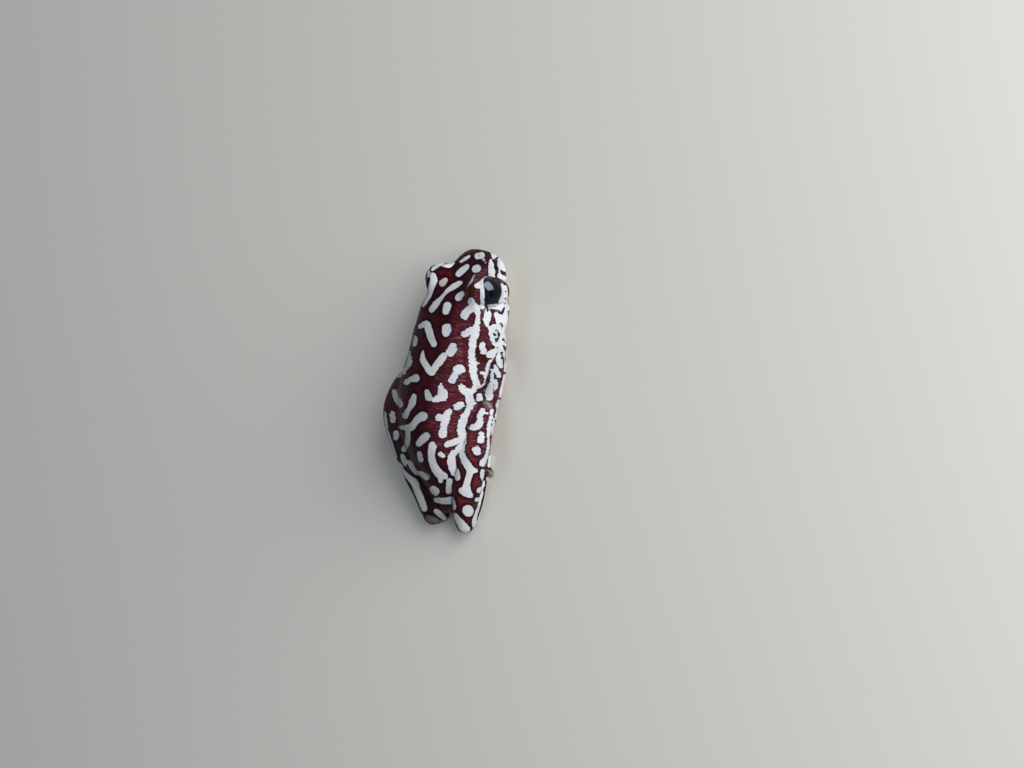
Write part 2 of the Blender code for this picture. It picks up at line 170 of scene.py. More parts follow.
def make_object(name: str, corners: np.ndarray, faces: list) -> bpy.types.Object:
    """Make a smooth mesh object.

    Args:
        name: Its name.
        corners: Its corners in millimetres.
        faces: Its faces as corner numbers.

    Returns:
        The object, at the origin.
    """
    mesh = plain_mesh(name, corners * MM, faces)
    mesh.shade_smooth()
    piece = bpy.data.objects.new(name, mesh)
    bpy.context.scene.collection.objects.link(piece)
    return piece


def carry(piece: bpy.types.Object, **measures: np.ndarray) -> None:
    """Store named numbers at each corner of a piece, for its shader to read."""
    for name, values in measures.items():
        store = piece.data.attributes.new(name, "FLOAT", "POINT")
        store.data.foreach_set("value", np.asarray(values, np.float32))


# The view


@dataclass(frozen=True)
class PhotoView:
    """The camera, turned with the frog from its upright perch to the floor it rests on."""

    elevation: float = 43.0
    azimuth: float = 13.0
    roll: float = 8.0
    distance: float = 600.0
    pixel: float = 0.12
    width: int = 1024
    height: int = 768
    sensor: float = 36.0
    clip: Band = (10.0, 20000.0)
    eye_pixel: Band = (487.8, 292.2)
    eye_nearer: float = 5.4

    @cache
    def axes(self) -> tuple[np.ndarray, np.ndarray, np.ndarray]:
        """Return the picture's right, its up and the way back to the camera, as unit vectors."""
        tilt, turn, roll = (math.radians(a) for a in (self.elevation, self.azimuth, self.roll))
        back = np.array((-math.cos(tilt) * math.cos(turn), -math.cos(tilt) * math.sin(turn), math.sin(tilt)))
        ahead = np.array((0.0, -1.0, 0.0))
        level_up = unit(ahead - ahead @ back * back)
        level_right = np.cross(-back, level_up)
        right = level_right * math.cos(roll) + level_up * math.sin(roll)
        up = level_up * math.cos(roll) - level_right * math.sin(roll)
        return right, up, back

    def turn(self) -> np.ndarray:
        """Return the camera's axes as the rows of a matrix."""
        return np.stack(self.axes())

    def focal_pixels(self) -> float:
        """Return the focal length in pixels."""
        return self.distance / self.pixel

    @cache
    def place(self) -> np.ndarray:
        """Return the camera's place, from which the right eye's centre falls on its pixel."""
        right, up, back = self.axes()
        depth = self.distance - self.eye_nearer
        aside = (self.eye_pixel[0] - self.width / 2) * depth / self.focal_pixels()
        above = (self.height / 2 - self.eye_pixel[1]) * depth / self.focal_pixels()
        return EyeBall("right").centre() + back * depth - right * aside - up * above

    def project(self, points: np.ndarray) -> np.ndarray:
        """Find where points fall in the picture.

        Args:
            points: Points in millimetres.

        Returns:
            Their pixels across and down, and their depths in pixels' widths.
        """
        across, above, behind = ((points - self.place()) @ self.turn().T).T
        scale = self.focal_pixels() / -behind
        pixels = (self.width / 2 + across * scale, self.height / 2 - above * scale)
        return np.column_stack((*pixels, -behind / self.pixel))

    def sight(self, x: float, y: float) -> np.ndarray:
        """Return the direction in which the camera sees a pixel."""
        right, up, back = self.axes()
        aim = -back * self.focal_pixels() + right * (x - self.width / 2) - up * (y - self.height / 2)
        return unit(aim)

    def make(self) -> None:
        """Add the camera to the scene."""
        data = bpy.data.cameras.new("camera")
        data.sensor_width = self.sensor
        data.lens = self.sensor * self.focal_pixels() / self.width
        data.clip_start, data.clip_end = (end * MM for end in self.clip)
        camera = bpy.data.objects.new("camera", data)
        turn = Matrix(self.axes()).transposed().to_4x4()
        camera.matrix_world = Matrix.Translation(Vector(self.place() * MM)) @ turn
        bpy.context.scene.collection.objects.link(camera)
        bpy.context.scene.camera = camera


# The markings, read from the picture


class Tone(Enum):
    """How a marking is coloured; the greyed pale marks, the dark fold lines and the dusky patches are painted
    shade, and the grey patches hold a painted shadow at the elbow.
    """

    PALE = auto()
    ASHEN = auto()
    BLUSH = auto()
    DARK = auto()
    EARTHEN = auto()
    FOLD = auto()
    DUSKY = auto()


@dataclass(frozen=True)
class Mark:
    """One stroke of the pattern or of painted shade, as pixels along its middle and its width in pixels
    there.
    """

    name: str
    tone: Tone
    points: tuple[Point, ...]
    spacing: float = 1.6

    def beads(self) -> np.ndarray:
        """Run a smooth curve through the points, as a row of x, y and width for each bead."""
        rows = np.array(self.points)
        if len(rows) == 1:
            return rows
        ends = np.vstack((2 * rows[0] - rows[1], rows, 2 * rows[-1] - rows[-2]))
        beads = []
        for before, start, end, after in zip(ends, ends[1:], ends[2:], ends[3:]):
            steps = max(1, int(math.hypot(*(end - start)[:2]) / self.spacing))
            for step in range(steps):
                t = step / steps
                bend = 2 * start + (end - before) * t
                bend += (2 * before - 5 * start + 4 * end - after) * t * t
                bend += (3 * start - 3 * end + after - before) * t ** 3
                beads.append(bend / 2)
        beads.append(rows[-1])
        return np.array(beads)


def marks(tone: Tone, **strokes: tuple[Point, ...]) -> list[Mark]:
    """Name several strokes of one tone.

    Args:
        tone: Their tone.
        **strokes: Points of each stroke by name.

    Returns:
        The strokes.
    """
    return [Mark(name, tone, points) for name, points in strokes.items()]


HEAD_MARKS = marks(
    Tone.PALE,
    snout_spot=((477.8, 256.0, 6.8), (481.4, 255.2, 7.2)),
    snout_corner=((493.0, 253.2, 5.4), (495.4, 256.6, 7.0)),
    second_snout_spot=((475.8, 268.9, 7.8), (477.2, 268.5, 8.0)),
    brow_streak=((461.0, 261.6, 2.6), (465.0, 258.9, 3.8), (469.0, 256.4, 2.8)),
    forehead_bar=((458.6, 274.0, 6.0), (462.3, 270.6, 6.8), (467.2, 266.4, 4.8)),
    brow_slash=((474.6, 275.2, 1.6), (471.6, 279.8, 3.4), (467.4, 286.6, 2.0)),
    nape_drop=((458.6, 297.4, 7.4), (461.8, 294.0, 5.8)),
    shoulder_oval=((445.8, 311.3, 7.0), (447.4, 305.8, 8.2)),
    loreal_stripe=((490.6, 259.8, 1.8), (491.0, 264.0, 5.0), (491.8, 270.0, 7.0), (492.2, 275.4, 7.6)),
    first_lip_patch=((500.2, 259.4, 5.4), (501.6, 264.2, 8.4), (503.0, 269.0, 7.8)),
    second_lip_patch=((499.8, 275.4, 5.4), (505.0, 278.6, 8.0)),
    lip_margin=((503.4, 285.4, 6.0), (504.2, 292.0, 8.0), (503.4, 299.0, 9.0), (501.8, 305.6, 8.0)),
    lid_arm=((486.0, 276.6, 3.2), (483.6, 280.0, 4.8), (480.4, 284.6, 7.0), (477.2, 285.8, 5.8)),
    lid_foot=((482.6, 286.0, 5.4), (482.4, 292.0, 4.4), (482.4, 298.0, 4.6)),
    lid_edge=((482.2, 298.0, 3.4), (482.6, 302.0, 4.0), (482.4, 306.8, 5.0)),
    under_eye=((489.0, 306.2, 4.4), (493.6, 306.6, 6.2), (499.0, 306.0, 7.0)),
    long_diagonal=(
        (461.0, 282.6, 3.6), (457.6, 284.2, 5.6), (452.6, 287.2, 5.4), (447.6, 290.8, 4.4),
        (444.0, 294.6, 3.4), (440.0, 299.2, 4.6), (435.6, 304.4, 6.4), (431.6, 309.8, 6.0),
    ),
    left_stripe=(
        (433.0, 275.6, 6.0), (433.8, 280.4, 7.4), (431.6, 286.8, 6.2), (429.8, 293.0, 5.2),
        (426.8, 299.6, 4.6), (423.6, 305.2, 3.6),
    ),
    left_lid_streak=((432.6, 269.4, 3.0), (436.4, 266.4, 4.6), (441.0, 264.9, 5.0), (446.0, 264.8, 5.0)),
    left_lid_patch=((444.6, 265.0, 4.6), (448.6, 264.8, 6.2), (453.4, 263.0, 3.0)),
    left_edge_patch=((428.8, 270.2, 4.4), (427.8, 274.8, 5.0)),
)
BLUSH_MARKS = marks(
    Tone.BLUSH,
    pink_spot=((442.4, 283.2, 7.0), (445.2, 280.4, 5.4)),
    nostril_ring=((483.0, 259.2, 2.2), (485.0, 260.6, 3.2), (485.6, 262.4, 2.0)),
)
BAND_MARKS = marks(
    Tone.PALE,
    band_head=((471.0, 301.2, 7.4), (472.4, 303.8, 7.0), (475.4, 307.6, 7.4)),
    band_lobe=((474.0, 307.4, 6.0), (469.0, 309.8, 8.0), (464.2, 315.2, 7.4), (465.0, 318.0, 4.0)),
    band=(
        (476.2, 308.4, 7.4), (478.0, 314.0, 5.0), (477.8, 319.6, 4.6), (476.8, 326.0, 6.4),
        (475.2, 333.0, 9.0), (473.2, 339.4, 7.6), (472.6, 346.0, 7.0), (471.4, 354.6, 7.0),
        (472.6, 362.0, 7.4), (473.2, 370.0, 7.8), (474.4, 378.0, 6.8), (476.6, 384.6, 7.4),
        (474.2, 389.0, 6.4), (470.6, 392.6, 6.6), (468.8, 397.0, 8.0), (470.6, 402.6, 8.4),
        (469.2, 408.0, 6.2), (466.4, 413.0, 6.0), (463.8, 419.0, 8.0), (461.4, 427.0, 8.4),
        (462.0, 434.6, 8.4), (462.8, 442.6, 6.8),
    ),
    band_bough=((476.0, 329.0, 6.0), (470.0, 331.4, 7.0), (464.4, 334.2, 7.4)),
    band_thorn=((474.0, 362.4, 5.4), (479.6, 362.8, 1.4)),
    band_spur=((476.6, 384.6, 6.0), (481.6, 386.4, 1.6)),
    band_knob=((461.4, 387.4, 6.4), (465.2, 391.0, 7.8), (470.6, 392.0, 6.0)),
    band_elbow=((470.6, 402.6, 7.0), (475.4, 403.4, 2.4)),
    upper_prong=((462.4, 439.0, 5.0), (455.0, 441.4, 6.4), (447.0, 444.8, 5.2)),
    lower_prong=(
        (461.6, 445.6, 5.0), (457.0, 450.4, 5.4), (452.8, 454.6, 7.0), (451.4, 461.0, 8.4),
        (452.4, 468.0, 7.4), (453.6, 474.0, 4.4),
    ),
    thigh_branch=(
        (462.2, 444.0, 6.0), (461.8, 453.0, 5.8), (464.4, 460.0, 7.4), (468.4, 466.4, 8.0),
        (470.2, 471.0, 7.4), (468.4, 478.0, 6.4), (466.6, 485.0, 7.0), (466.0, 491.0, 11.0),
    ),
    thigh_branch_foot=((461.6, 490.6, 6.4), (466.4, 492.6, 9.0), (470.6, 495.4, 5.4)),
    thigh_branch_twig=((470.6, 469.6, 7.0), (476.0, 470.8, 4.0)),
)
BACK_MARKS = marks(
    Tone.PALE,
    seven=(
        (420.0, 326.4, 4.4), (426.4, 323.8, 6.6), (428.8, 330.0, 7.4), (431.0, 337.4, 7.2),
        (433.8, 344.0, 6.4),
    ),
    round_spot=((446.2, 332.4, 8.6), (446.8, 328.4, 9.6)),
    vee=(
        (423.0, 351.4, 2.0), (422.8, 359.6, 6.0), (426.6, 366.0, 6.6), (431.4, 372.6, 6.2),
        (435.8, 366.4, 7.0), (441.0, 359.6, 7.6), (443.6, 356.4, 6.8),
    ),
    vee_knob=((450.2, 352.4, 9.0), (453.2, 347.6, 8.6)),
    dumbbell_top=((457.6, 370.6, 9.4), (460.6, 369.0, 10.0)),
    dumbbell_foot=((456.0, 373.6, 6.0), (452.4, 379.6, 8.0)),
    bright_spot=((457.0, 406.4, 7.4), (460.6, 405.4, 7.8)),
    sail=(
        (440.8, 384.6, 3.0), (441.2, 389.6, 7.4), (443.4, 395.4, 9.2), (437.4, 398.6, 6.4),
        (433.6, 399.8, 4.4),
    ),
    pillar=((449.2, 411.4, 6.4), (446.0, 418.6, 8.4), (443.8, 427.0, 6.8), (442.6, 434.0, 9.2)),
    pillar_arm=((446.0, 419.4, 6.0), (438.4, 417.6, 6.4)),
)
# The pale marks of the left side, greyed as painted shade.
SHADED_MARKS = marks(
    Tone.ASHEN,
    left_shoulder_oval=((415.4, 337.6, 4.4), (414.8, 344.0, 4.8)),
    left_shoulder_edge=(
        (409.4, 352.0, 2.6), (409.2, 361.6, 6.2), (406.0, 368.0, 5.2), (402.6, 373.6, 4.2),
        (397.4, 377.0, 2.0),
    ),
    grey_pair=((406.4, 382.0, 6.2), (410.6, 379.6, 5.0), (415.8, 378.2, 8.2)),
    sail_root=((427.0, 392.0, 5.4), (428.6, 397.0, 7.4)),
    knee_hook=((394.9, 391.6, 5.6), (396.4, 398.4, 6.8), (400.2, 403.6, 7.6)),
    spindle=((414.0, 396.4, 5.4), (412.2, 403.0, 7.2), (408.8, 409.4, 4.4), (405.2, 415.6, 7.0)),
    knee_oval=((392.4, 414.0, 5.6), (392.8, 420.0, 6.2)),
    wishbone=(
        (423.0, 416.2, 9.4), (418.6, 418.6, 8.0), (414.6, 422.8, 6.4), (410.8, 427.4, 7.6),
        (404.6, 427.8, 5.6), (398.6, 427.6, 3.0),
    ),
    wishbone_stem=((407.6, 430.0, 5.6), (407.8, 438.0, 5.6), (406.6, 444.0, 6.4), (403.6, 449.6, 5.2)),
    knee_spot=((395.6, 433.6, 5.6), (395.8, 437.6, 5.8)),
    slanted_oval=((426.4, 436.0, 7.4), (422.6, 439.4, 7.8), (418.6, 443.8, 6.2)),
    left_leg_vee=((402.6, 456.0, 4.6), (404.0, 460.4, 5.6), (405.2, 464.2, 3.8)),
    left_leg_wave=(
        (406.6, 461.6, 3.4), (409.8, 463.0, 5.2), (412.4, 467.6, 5.6), (416.0, 471.8, 6.0),
        (421.0, 474.6, 6.2), (426.2, 477.2, 6.6),
    ),
    left_leg_oval=((419.4, 453.8, 5.4), (420.8, 459.6, 5.8)),
    left_rim=(
        (385.2, 412.0, 2.4), (386.0, 426.0, 3.2), (389.0, 438.0, 4.6), (392.4, 449.0, 5.0),
        (396.4, 460.0, 4.8), (401.0, 467.4, 4.6),
    ),
    heel_rim=(
        (400.6, 467.4, 3.0), (405.4, 474.0, 4.4), (411.2, 479.6, 6.6), (415.2, 483.4, 8.0),
        (416.2, 488.6, 6.8), (418.6, 494.0, 7.4), (421.6, 501.4, 7.4), (424.2, 508.6, 6.4),
    ),
)
RUMP_MARKS = marks(
    Tone.PALE,
    club=(
        (432.6, 446.4, 8.4), (431.4, 453.0, 7.2), (431.8, 459.6, 7.4), (434.6, 467.0, 8.0),
        (439.0, 473.6, 9.0), (444.6, 476.2, 6.4),
    ),
    club_prong=((440.2, 474.0, 7.4), (440.6, 481.0, 4.6)),
    small_oval=((440.2, 454.2, 4.4), (443.0, 456.0, 4.2)),
    rump_spot=((433.8, 490.4, 9.4), (434.8, 491.2, 9.4)),
    rump_bar=((436.4, 499.8, 5.6), (442.6, 501.0, 6.4), (450.4, 500.6, 8.0)),
    vent_streak=((436.4, 511.4, 5.6), (440.4, 515.0, 6.4), (445.2, 518.8, 3.6)),
    crease_knot=((449.4, 481.0, 5.6), (448.6, 486.4, 5.4), (448.4, 491.4, 5.4)),
    crease_oval=((456.6, 472.0, 6.2), (457.2, 477.4, 6.4)),
    crease_blot=((453.4, 502.0, 4.2), (453.8, 507.6, 5.0)),
)
ARM_MARKS = marks(
    Tone.PALE,
    arm_oval=((482.6, 344.6, 5.2), (483.0, 351.4, 6.0)),
    elbow_drop=((479.2, 396.4, 6.6), (479.8, 397.6, 7.0)),
    crease_wedge=((481.0, 373.0, 3.4), (484.4, 374.0, 4.6), (485.0, 377.6, 2.6)),
    crease_line=(
        (494.4, 357.0, 2.0), (491.4, 360.6, 2.2), (488.6, 364.4, 4.0), (488.0, 369.0, 4.0),
        (486.6, 374.8, 2.8), (485.2, 380.4, 2.0), (483.8, 385.0, 2.0), (479.4, 387.8, 2.6),
    ),
    forearm_bar=(
        (493.0, 369.8, 2.6), (492.0, 375.0, 2.8), (492.2, 381.0, 4.2), (490.8, 386.6, 6.0),
        (489.0, 392.4, 8.6), (489.6, 397.0, 7.8),
    ),
    forearm_twin=((495.4, 380.6, 3.4), (495.8, 386.6, 4.0), (494.6, 390.4, 2.6)),
    wrist_oval=((499.0, 353.4, 4.0), (498.8, 359.0, 5.8), (500.0, 363.6, 6.4), (501.4, 366.4, 4.6)),
    wrist_drop=((495.0, 365.6, 2.0), (496.4, 370.8, 4.6), (498.8, 375.6, 4.6)),
    wrist_edge=((504.4, 350.6, 3.6), (504.8, 357.4, 3.8)),
    wrist_rim=((504.9, 361.8, 3.6), (504.8, 369.4, 3.6)),
    palm_rim=((504.8, 376.0, 3.0), (502.6, 386.0, 3.8), (499.8, 396.0, 3.6)),
    hand_edge=((498.6, 400.6, 3.6), (497.6, 410.0, 4.0), (496.0, 418.0, 3.6)),
    hand_foot=((492.0, 410.6, 4.0), (491.2, 417.0, 3.6)),
    flank_patch=((489.4, 355.2, 6.4), (492.8, 353.2, 7.4), (496.6, 350.8, 5.6)),
)
FLANK_MARKS = marks(
    Tone.PALE,
    cheek=((487.8, 312.6, 7.8), (487.2, 319.4, 8.4), (488.0, 324.0, 5.6)),
    throat_side=(
        (499.8, 315.2, 12.4), (499.4, 321.0, 14.0), (498.4, 325.4, 12.0), (496.8, 330.6, 15.6),
        (496.6, 336.4, 14.4), (498.6, 342.0, 12.6), (500.6, 348.0, 9.0),
    ),
    jaw_rim=(
        (506.4, 303.0, 7.6), (506.6, 310.0, 7.6), (506.0, 324.0, 6.0), (505.0, 336.0, 5.6),
        (504.4, 346.0, 4.4),
    ),
    cheek_bridge=((490.6, 328.4, 5.6), (492.6, 332.0, 7.0)),
)
LEG_MARKS = marks(
    Tone.PALE,
    knee_crook=(
        (482.4, 411.4, 6.0), (479.8, 416.6, 5.8), (480.0, 422.4, 6.8), (475.6, 427.4, 7.0),
        (469.4, 427.8, 4.2),
    ),
    knee_fleck=((487.2, 413.4, 3.0),),
    shank_oval=((481.8, 433.6, 5.6), (480.8, 440.6, 6.6)),
    shank_spot=((476.4, 449.4, 7.8), (477.0, 452.0, 8.0)),
    edge_band=(
        (491.0, 418.0, 3.4), (489.2, 426.0, 4.6), (488.4, 436.0, 3.0), (488.4, 447.0, 3.4),
        (486.8, 456.0, 4.4), (482.6, 463.4, 6.6),
    ),
    outer_band=(
        (494.0, 420.0, 3.6), (492.6, 432.0, 3.6), (491.4, 446.0, 3.6), (490.0, 458.0, 3.4),
        (489.0, 466.0, 3.0),
    ),
    lower_bean=((482.6, 471.6, 4.6), (482.4, 476.4, 5.2), (483.6, 480.6, 3.4)),
    lower_branch=((483.8, 484.0, 3.2), (481.8, 488.0, 3.6), (479.2, 490.2, 6.0)),
    lower_fleck=((476.8, 499.6, 4.4), (479.0, 498.6, 3.4)),
    heel_band=(
        (482.4, 492.0, 2.6), (480.4, 499.0, 3.0), (478.4, 507.0, 3.4), (475.8, 515.0, 4.0),
        (474.4, 521.5, 5.4), (474.8, 528.6, 5.0),
    ),
    heel_rail=(
        (487.6, 478.0, 3.4), (486.4, 488.0, 3.2), (484.6, 499.0, 2.8), (481.4, 511.0, 2.8),
        (479.0, 520.0, 2.4),
    ),
    heel_spot=((467.6, 510.4, 11.0), (468.6, 511.4, 11.0)),
    heel_club=((455.4, 515.4, 5.2), (458.6, 520.6, 7.2), (462.4, 526.0, 9.6), (466.0, 529.6, 9.0)),
)
DARK_MARKS = marks(
    Tone.DARK,
    snout_fleck=((479.3, 255.7, 1.6),),
    snout_gap=((494.2, 259.0, 1.6), (496.6, 258.2, 1.8), (499.0, 256.0, 2.0)),
    loreal_gap=((494.2, 258.6, 1.6), (494.6, 264.0, 2.0), (495.2, 270.0, 1.8), (495.8, 276.0, 2.6)),
    first_lip_gap=((496.6, 269.8, 3.0), (500.6, 271.8, 3.8), (505.4, 274.2, 4.2)),
    second_lip_gap=((497.6, 278.0, 1.2), (500.8, 280.6, 2.4), (505.0, 284.0, 3.2)),
    under_lid=((487.4, 306.4, 1.8), (487.7, 311.0, 2.0)),
    first_gap=((490.4, 309.8, 1.8), (492.4, 313.2, 1.4)),
    second_gap=(
        (491.2, 309.8, 2.0), (494.6, 311.6, 2.6), (497.6, 311.4, 1.6), (500.0, 313.0, 2.2),
        (502.0, 313.8, 2.0),
    ),
    third_gap=((501.6, 313.4, 2.2), (503.2, 310.4, 2.6), (504.4, 307.4, 2.0)),
    fourth_gap=((492.8, 315.0, 1.0), (493.8, 318.4, 2.4), (492.8, 321.4, 4.6), (490.6, 324.2, 3.6)),
    fifth_gap=((494.6, 322.6, 2.4), (495.6, 321.2, 1.6)),
    sixth_gap=((500.8, 323.4, 1.6), (502.6, 325.6, 2.0), (501.6, 328.4, 1.4)),
    speck_row=((495.2, 309.2, 1.2), (497.4, 309.8, 1.6), (500.2, 310.6, 1.2)),
    seventh_gap=((496.2, 330.2, 1.8), (498.0, 331.0, 1.4)),
    eighth_gap=((494.2, 333.8, 2.8), (495.4, 335.6, 1.8)),
    ninth_gap=((498.9, 334.0, 2.4), (498.7, 337.4, 2.2), (496.0, 339.8, 3.0)),
    tenth_gap=((502.6, 338.2, 1.4), (505.2, 342.4, 1.8)),
    eleventh_gap=((497.4, 348.6, 1.8),),
    twelfth_gap=((499.9, 349.7, 1.6),),
    thirteenth_gap=((503.4, 345.6, 1.8), (505.2, 350.2, 2.4)),
    cheek_gap=((484.2, 309.8, 1.8), (482.4, 315.0, 3.4), (481.6, 320.0, 3.0), (483.0, 325.6, 3.4)),
    lip_tick=((505.9, 291.6, 1.8),),
    lower_lip_tick=((505.4, 298.6, 1.6),),
    jaw_tick=((505.1, 304.0, 1.8),),
)
# Grey patches: the frog's own grey at the soles, heel and toe, and at the elbow a painted shadow over a pale
# mark.
EARTHEN_MARKS = marks(
    Tone.EARTHEN,
    elbow_patch=((482.8, 400.4, 2.0), (486.0, 403.0, 5.0), (489.4, 406.2, 6.4), (491.4, 407.0, 4.4)),
    heel_patch=((427.0, 519.4, 8.0), (436.0, 521.4, 6.0)),
    sole_rim=((440.0, 522.0, 2.4), (446.0, 520.6, 2.4), (451.4, 518.0, 2.4)),
    toe_patch=((487.0, 471.0, 4.0), (491.6, 474.6, 8.0)),
    under_lid_patch=((485.0, 308.4, 2.6), (483.8, 311.4, 1.6)),
)
# Dark lines painted along the skin's folds as the shade in these creases; the skin is also grooved along
# them.
FOLDS = marks(
    Tone.FOLD,
    right_leg_fold=(
        (483.4, 400.4, 0.8), (479.8, 405.0, 1.2), (476.4, 411.6, 1.2), (471.0, 423.0, 1.2),
        (466.6, 434.0, 1.0), (462.6, 446.0, 0.8),
    ),
    rump_fold=(
        (458.4, 462.0, 0.6), (454.0, 476.0, 1.2), (451.6, 492.0, 1.4), (451.2, 508.0, 1.6),
        (451.4, 516.0, 1.6),
    ),
    arm_fold=(
        (498.6, 352.4, 0.6), (494.6, 358.6, 1.0), (490.4, 366.0, 1.0), (488.2, 374.4, 1.0),
        (486.0, 382.4, 1.2), (484.0, 388.6, 1.0), (478.6, 389.6, 0.8),
    ),
    elbow_fold=(
        (486.4, 386.6, 0.8), (484.6, 394.0, 1.2), (484.0, 401.0, 1.2), (490.0, 408.6, 1.2),
        (496.0, 404.8, 0.8),
    ),
    left_leg_fold=(
        (396.4, 428.0, 0.6), (403.0, 443.0, 1.0), (410.0, 457.0, 1.0), (420.0, 469.0, 1.0),
        (430.0, 479.6, 0.6),
    ),
    heel_fold=(
        (421.8, 519.6, 1.0), (423.6, 515.4, 1.6), (429.4, 513.6, 1.6), (435.0, 517.0, 1.4),
        (441.0, 519.8, 1.0),
    ),
    brow_fold=((494.9, 257.6, 0.6), (495.4, 266.0, 1.0), (495.8, 276.0, 0.8)),
)
# Patches of painted shade behind the lid, by the jaw and arm, and by the knee.
DUSKY_MARKS = marks(
    Tone.DUSKY,
    lid_dusk=((471.6, 288.0, 5.0), (471.0, 292.0, 8.0), (470.0, 296.0, 6.0)),
    jaw_dusk=((480.0, 334.0, 2.0), (477.0, 341.0, 3.4), (476.4, 349.0, 4.4), (479.6, 356.4, 6.0)),
    arm_dusk=((479.6, 356.4, 6.0), (483.4, 359.0, 8.0), (486.0, 347.4, 4.0)),
    knee_dusk=((476.0, 386.6, 2.0), (471.6, 394.0, 4.0), (481.0, 388.0, 4.0)),
)
# Every stroke: the frog's own pattern, with the strokes of painted shade among it.
PATTERN = (
    HEAD_MARKS + BLUSH_MARKS + BAND_MARKS + BACK_MARKS + SHADED_MARKS + RUMP_MARKS
    + ARM_MARKS + FLANK_MARKS + LEG_MARKS + DARK_MARKS + EARTHEN_MARKS + FOLDS + DUSKY_MARKS
)


# Shader maths


class Socket:
    """An output of a shader node that takes part in sums."""

    def __init__(self, shader: "Shader", link: bpy.types.NodeSocket) -> None:
        """Wrap an output socket of a shader."""
        self.shader = shader
        self.link = link

    def __add__(self, other: "Socket | float") -> "Socket":
        """Add."""
        return self.shader.maths("ADD", self, other)

    __radd__ = __add__

    def __mul__(self, other: "Socket | float") -> "Socket":
        """Multiply."""
        return self.shader.maths("MULTIPLY", self, other)

    __rmul__ = __mul__

    def __sub__(self, other: "Socket | float") -> "Socket":
        """Subtract the other."""
        return self.shader.maths("SUBTRACT", self, other)

    def __rsub__(self, other: float) -> "Socket":
        """Subtract from the other."""
        return self.shader.maths("SUBTRACT", other, self)

    def ease(self, low: float, high: float) -> "Socket":
        """Ease from 0 at low to 1 at high.

        Args:
            low: Where the result leaves 0.
            high: Where the result reaches 1.

        Returns:
            A socket from 0 to 1.
        """
        settings = {"interpolation_type": "SMOOTHSTEP"}
        values = {"Value": self, "From Min": low, "From Max": high}
        return self.shader.add("ShaderNodeMapRange", settings, values)


class Shader:
    """A material under construction."""

    def __init__(self, name: str) -> None:
        """Start a material with an empty node tree."""
        self.material = bpy.data.materials.new(name)
        self.material.use_nodes = True
        self.tree = self.material.node_tree
        self.tree.nodes.clear()

    def add(self, kind: str, settings: dict, values: dict, output: int | str = 0) -> Socket | None:
        """Add any node.

        Args:
            kind: The node's type.
            settings: Properties to set first.
            values: Numbers, colours or sockets by input name, identifier or index.
            output: Which output to return.

        Returns:
            The chosen output, or None from a node that ends the tree.
        """
        node = self.tree.nodes.new(kind)
        for key, value in settings.items():
            setattr(node, key, value)
        for key, value in values.items():
            socket = self.find(node, key)
            if isinstance(value, Socket):
                self.tree.links.new(value.link, socket)
            else:
                socket.default_value = value
        return Socket(self, node.outputs[output]) if len(node.outputs) else None

    @staticmethod
    def find(node: bpy.types.Node, key: int | str) -> bpy.types.NodeSocket:
        """Find an input by index, identifier or name."""
        named = (socket for socket in node.inputs if socket.identifier == key)
        return next(named, None) or node.inputs[key]

    def maths(self, operation: str, *parts: Socket | float) -> Socket:
        """Add a Math node."""
        return self.add("ShaderNodeMath", {"operation": operation}, dict(enumerate(parts)))

    def attribute(self, name: str) -> Socket:
        """Read a number that the mesh carries at its corners."""
        return self.add("ShaderNodeAttribute", {"attribute_name": name}, {}, "Fac")

    def place(self) -> Socket:
        """Return the place on the object in millimetres."""
        metres = self.add("ShaderNodeTexCoord", {}, {}, "Object")
        return self.stretch(metres, 1 / MM, 1 / MM, 1 / MM)

    def stretch(self, vector: Socket, x: float, y: float, z: float) -> Socket:
        """Scale a vector along each axis."""
        return self.add("ShaderNodeVectorMath", {"operation": "MULTIPLY"}, {0: vector, 1: (x, y, z)})

    def noise(self, vector: Socket, scale: float, detail: float, rough: float = 0.5) -> Socket:
        """Add noise around 0.5.

        Args:
            vector: Where to read it.
            scale: Waves per unit of the vector.
            detail: Octaves.
            rough: How strong the finer octaves are.

        Returns:
            The noise as a number.
        """
        values = {"Vector": vector, "Scale": scale, "Detail": detail, "Roughness": rough}
        return self.add("ShaderNodeTexNoise", {}, values, "Fac")

    def cells(self, vector: Socket, scale: float) -> Socket:
        """Add a net of cells, as the distance inside each."""
        settings = {"feature": "DISTANCE_TO_EDGE"}
        return self.add("ShaderNodeTexVoronoi", settings, {"Vector": vector, "Scale": scale}, "Distance")

    def layers(self, base: Socket | Colour, *coats: tuple[Socket | float, Socket | Colour]) -> Socket:
        """Lay colours over a base, one after the other.

        Args:
            base: The lowest colour.
            *coats: For each further colour how far it covers, from 0 to 1, and the colour.

        Returns:
            The colour on top.
        """
        for cover, colour in coats:
            values = {"Factor_Float": cover, "A_Color": base, "B_Color": colour}
            base = self.add("ShaderNodeMix", {"data_type": "RGBA"}, values, 2)
        return base

    def bump(self, height: Socket, distance: float) -> Socket:
        """Tilt the surface by a height from 0 to 1 that stands for a distance in metres."""
        return self.add("ShaderNodeBump", {}, {"Height": height, "Distance": distance})

    def finish(self, **inputs: Socket | float | Colour) -> bpy.types.Material:
        """Close the material with one surface.

        Args:
            **inputs: Inputs of the surface, with underscores for the spaces in their names.

        Returns:
            The material.
        """
        values = {name.replace("_", " "): value for name, value in inputs.items()}
        surface = self.add("ShaderNodeBsdfPrincipled", {}, values)
        self.add("ShaderNodeOutputMaterial", {}, {"Surface": surface})
        return self.material


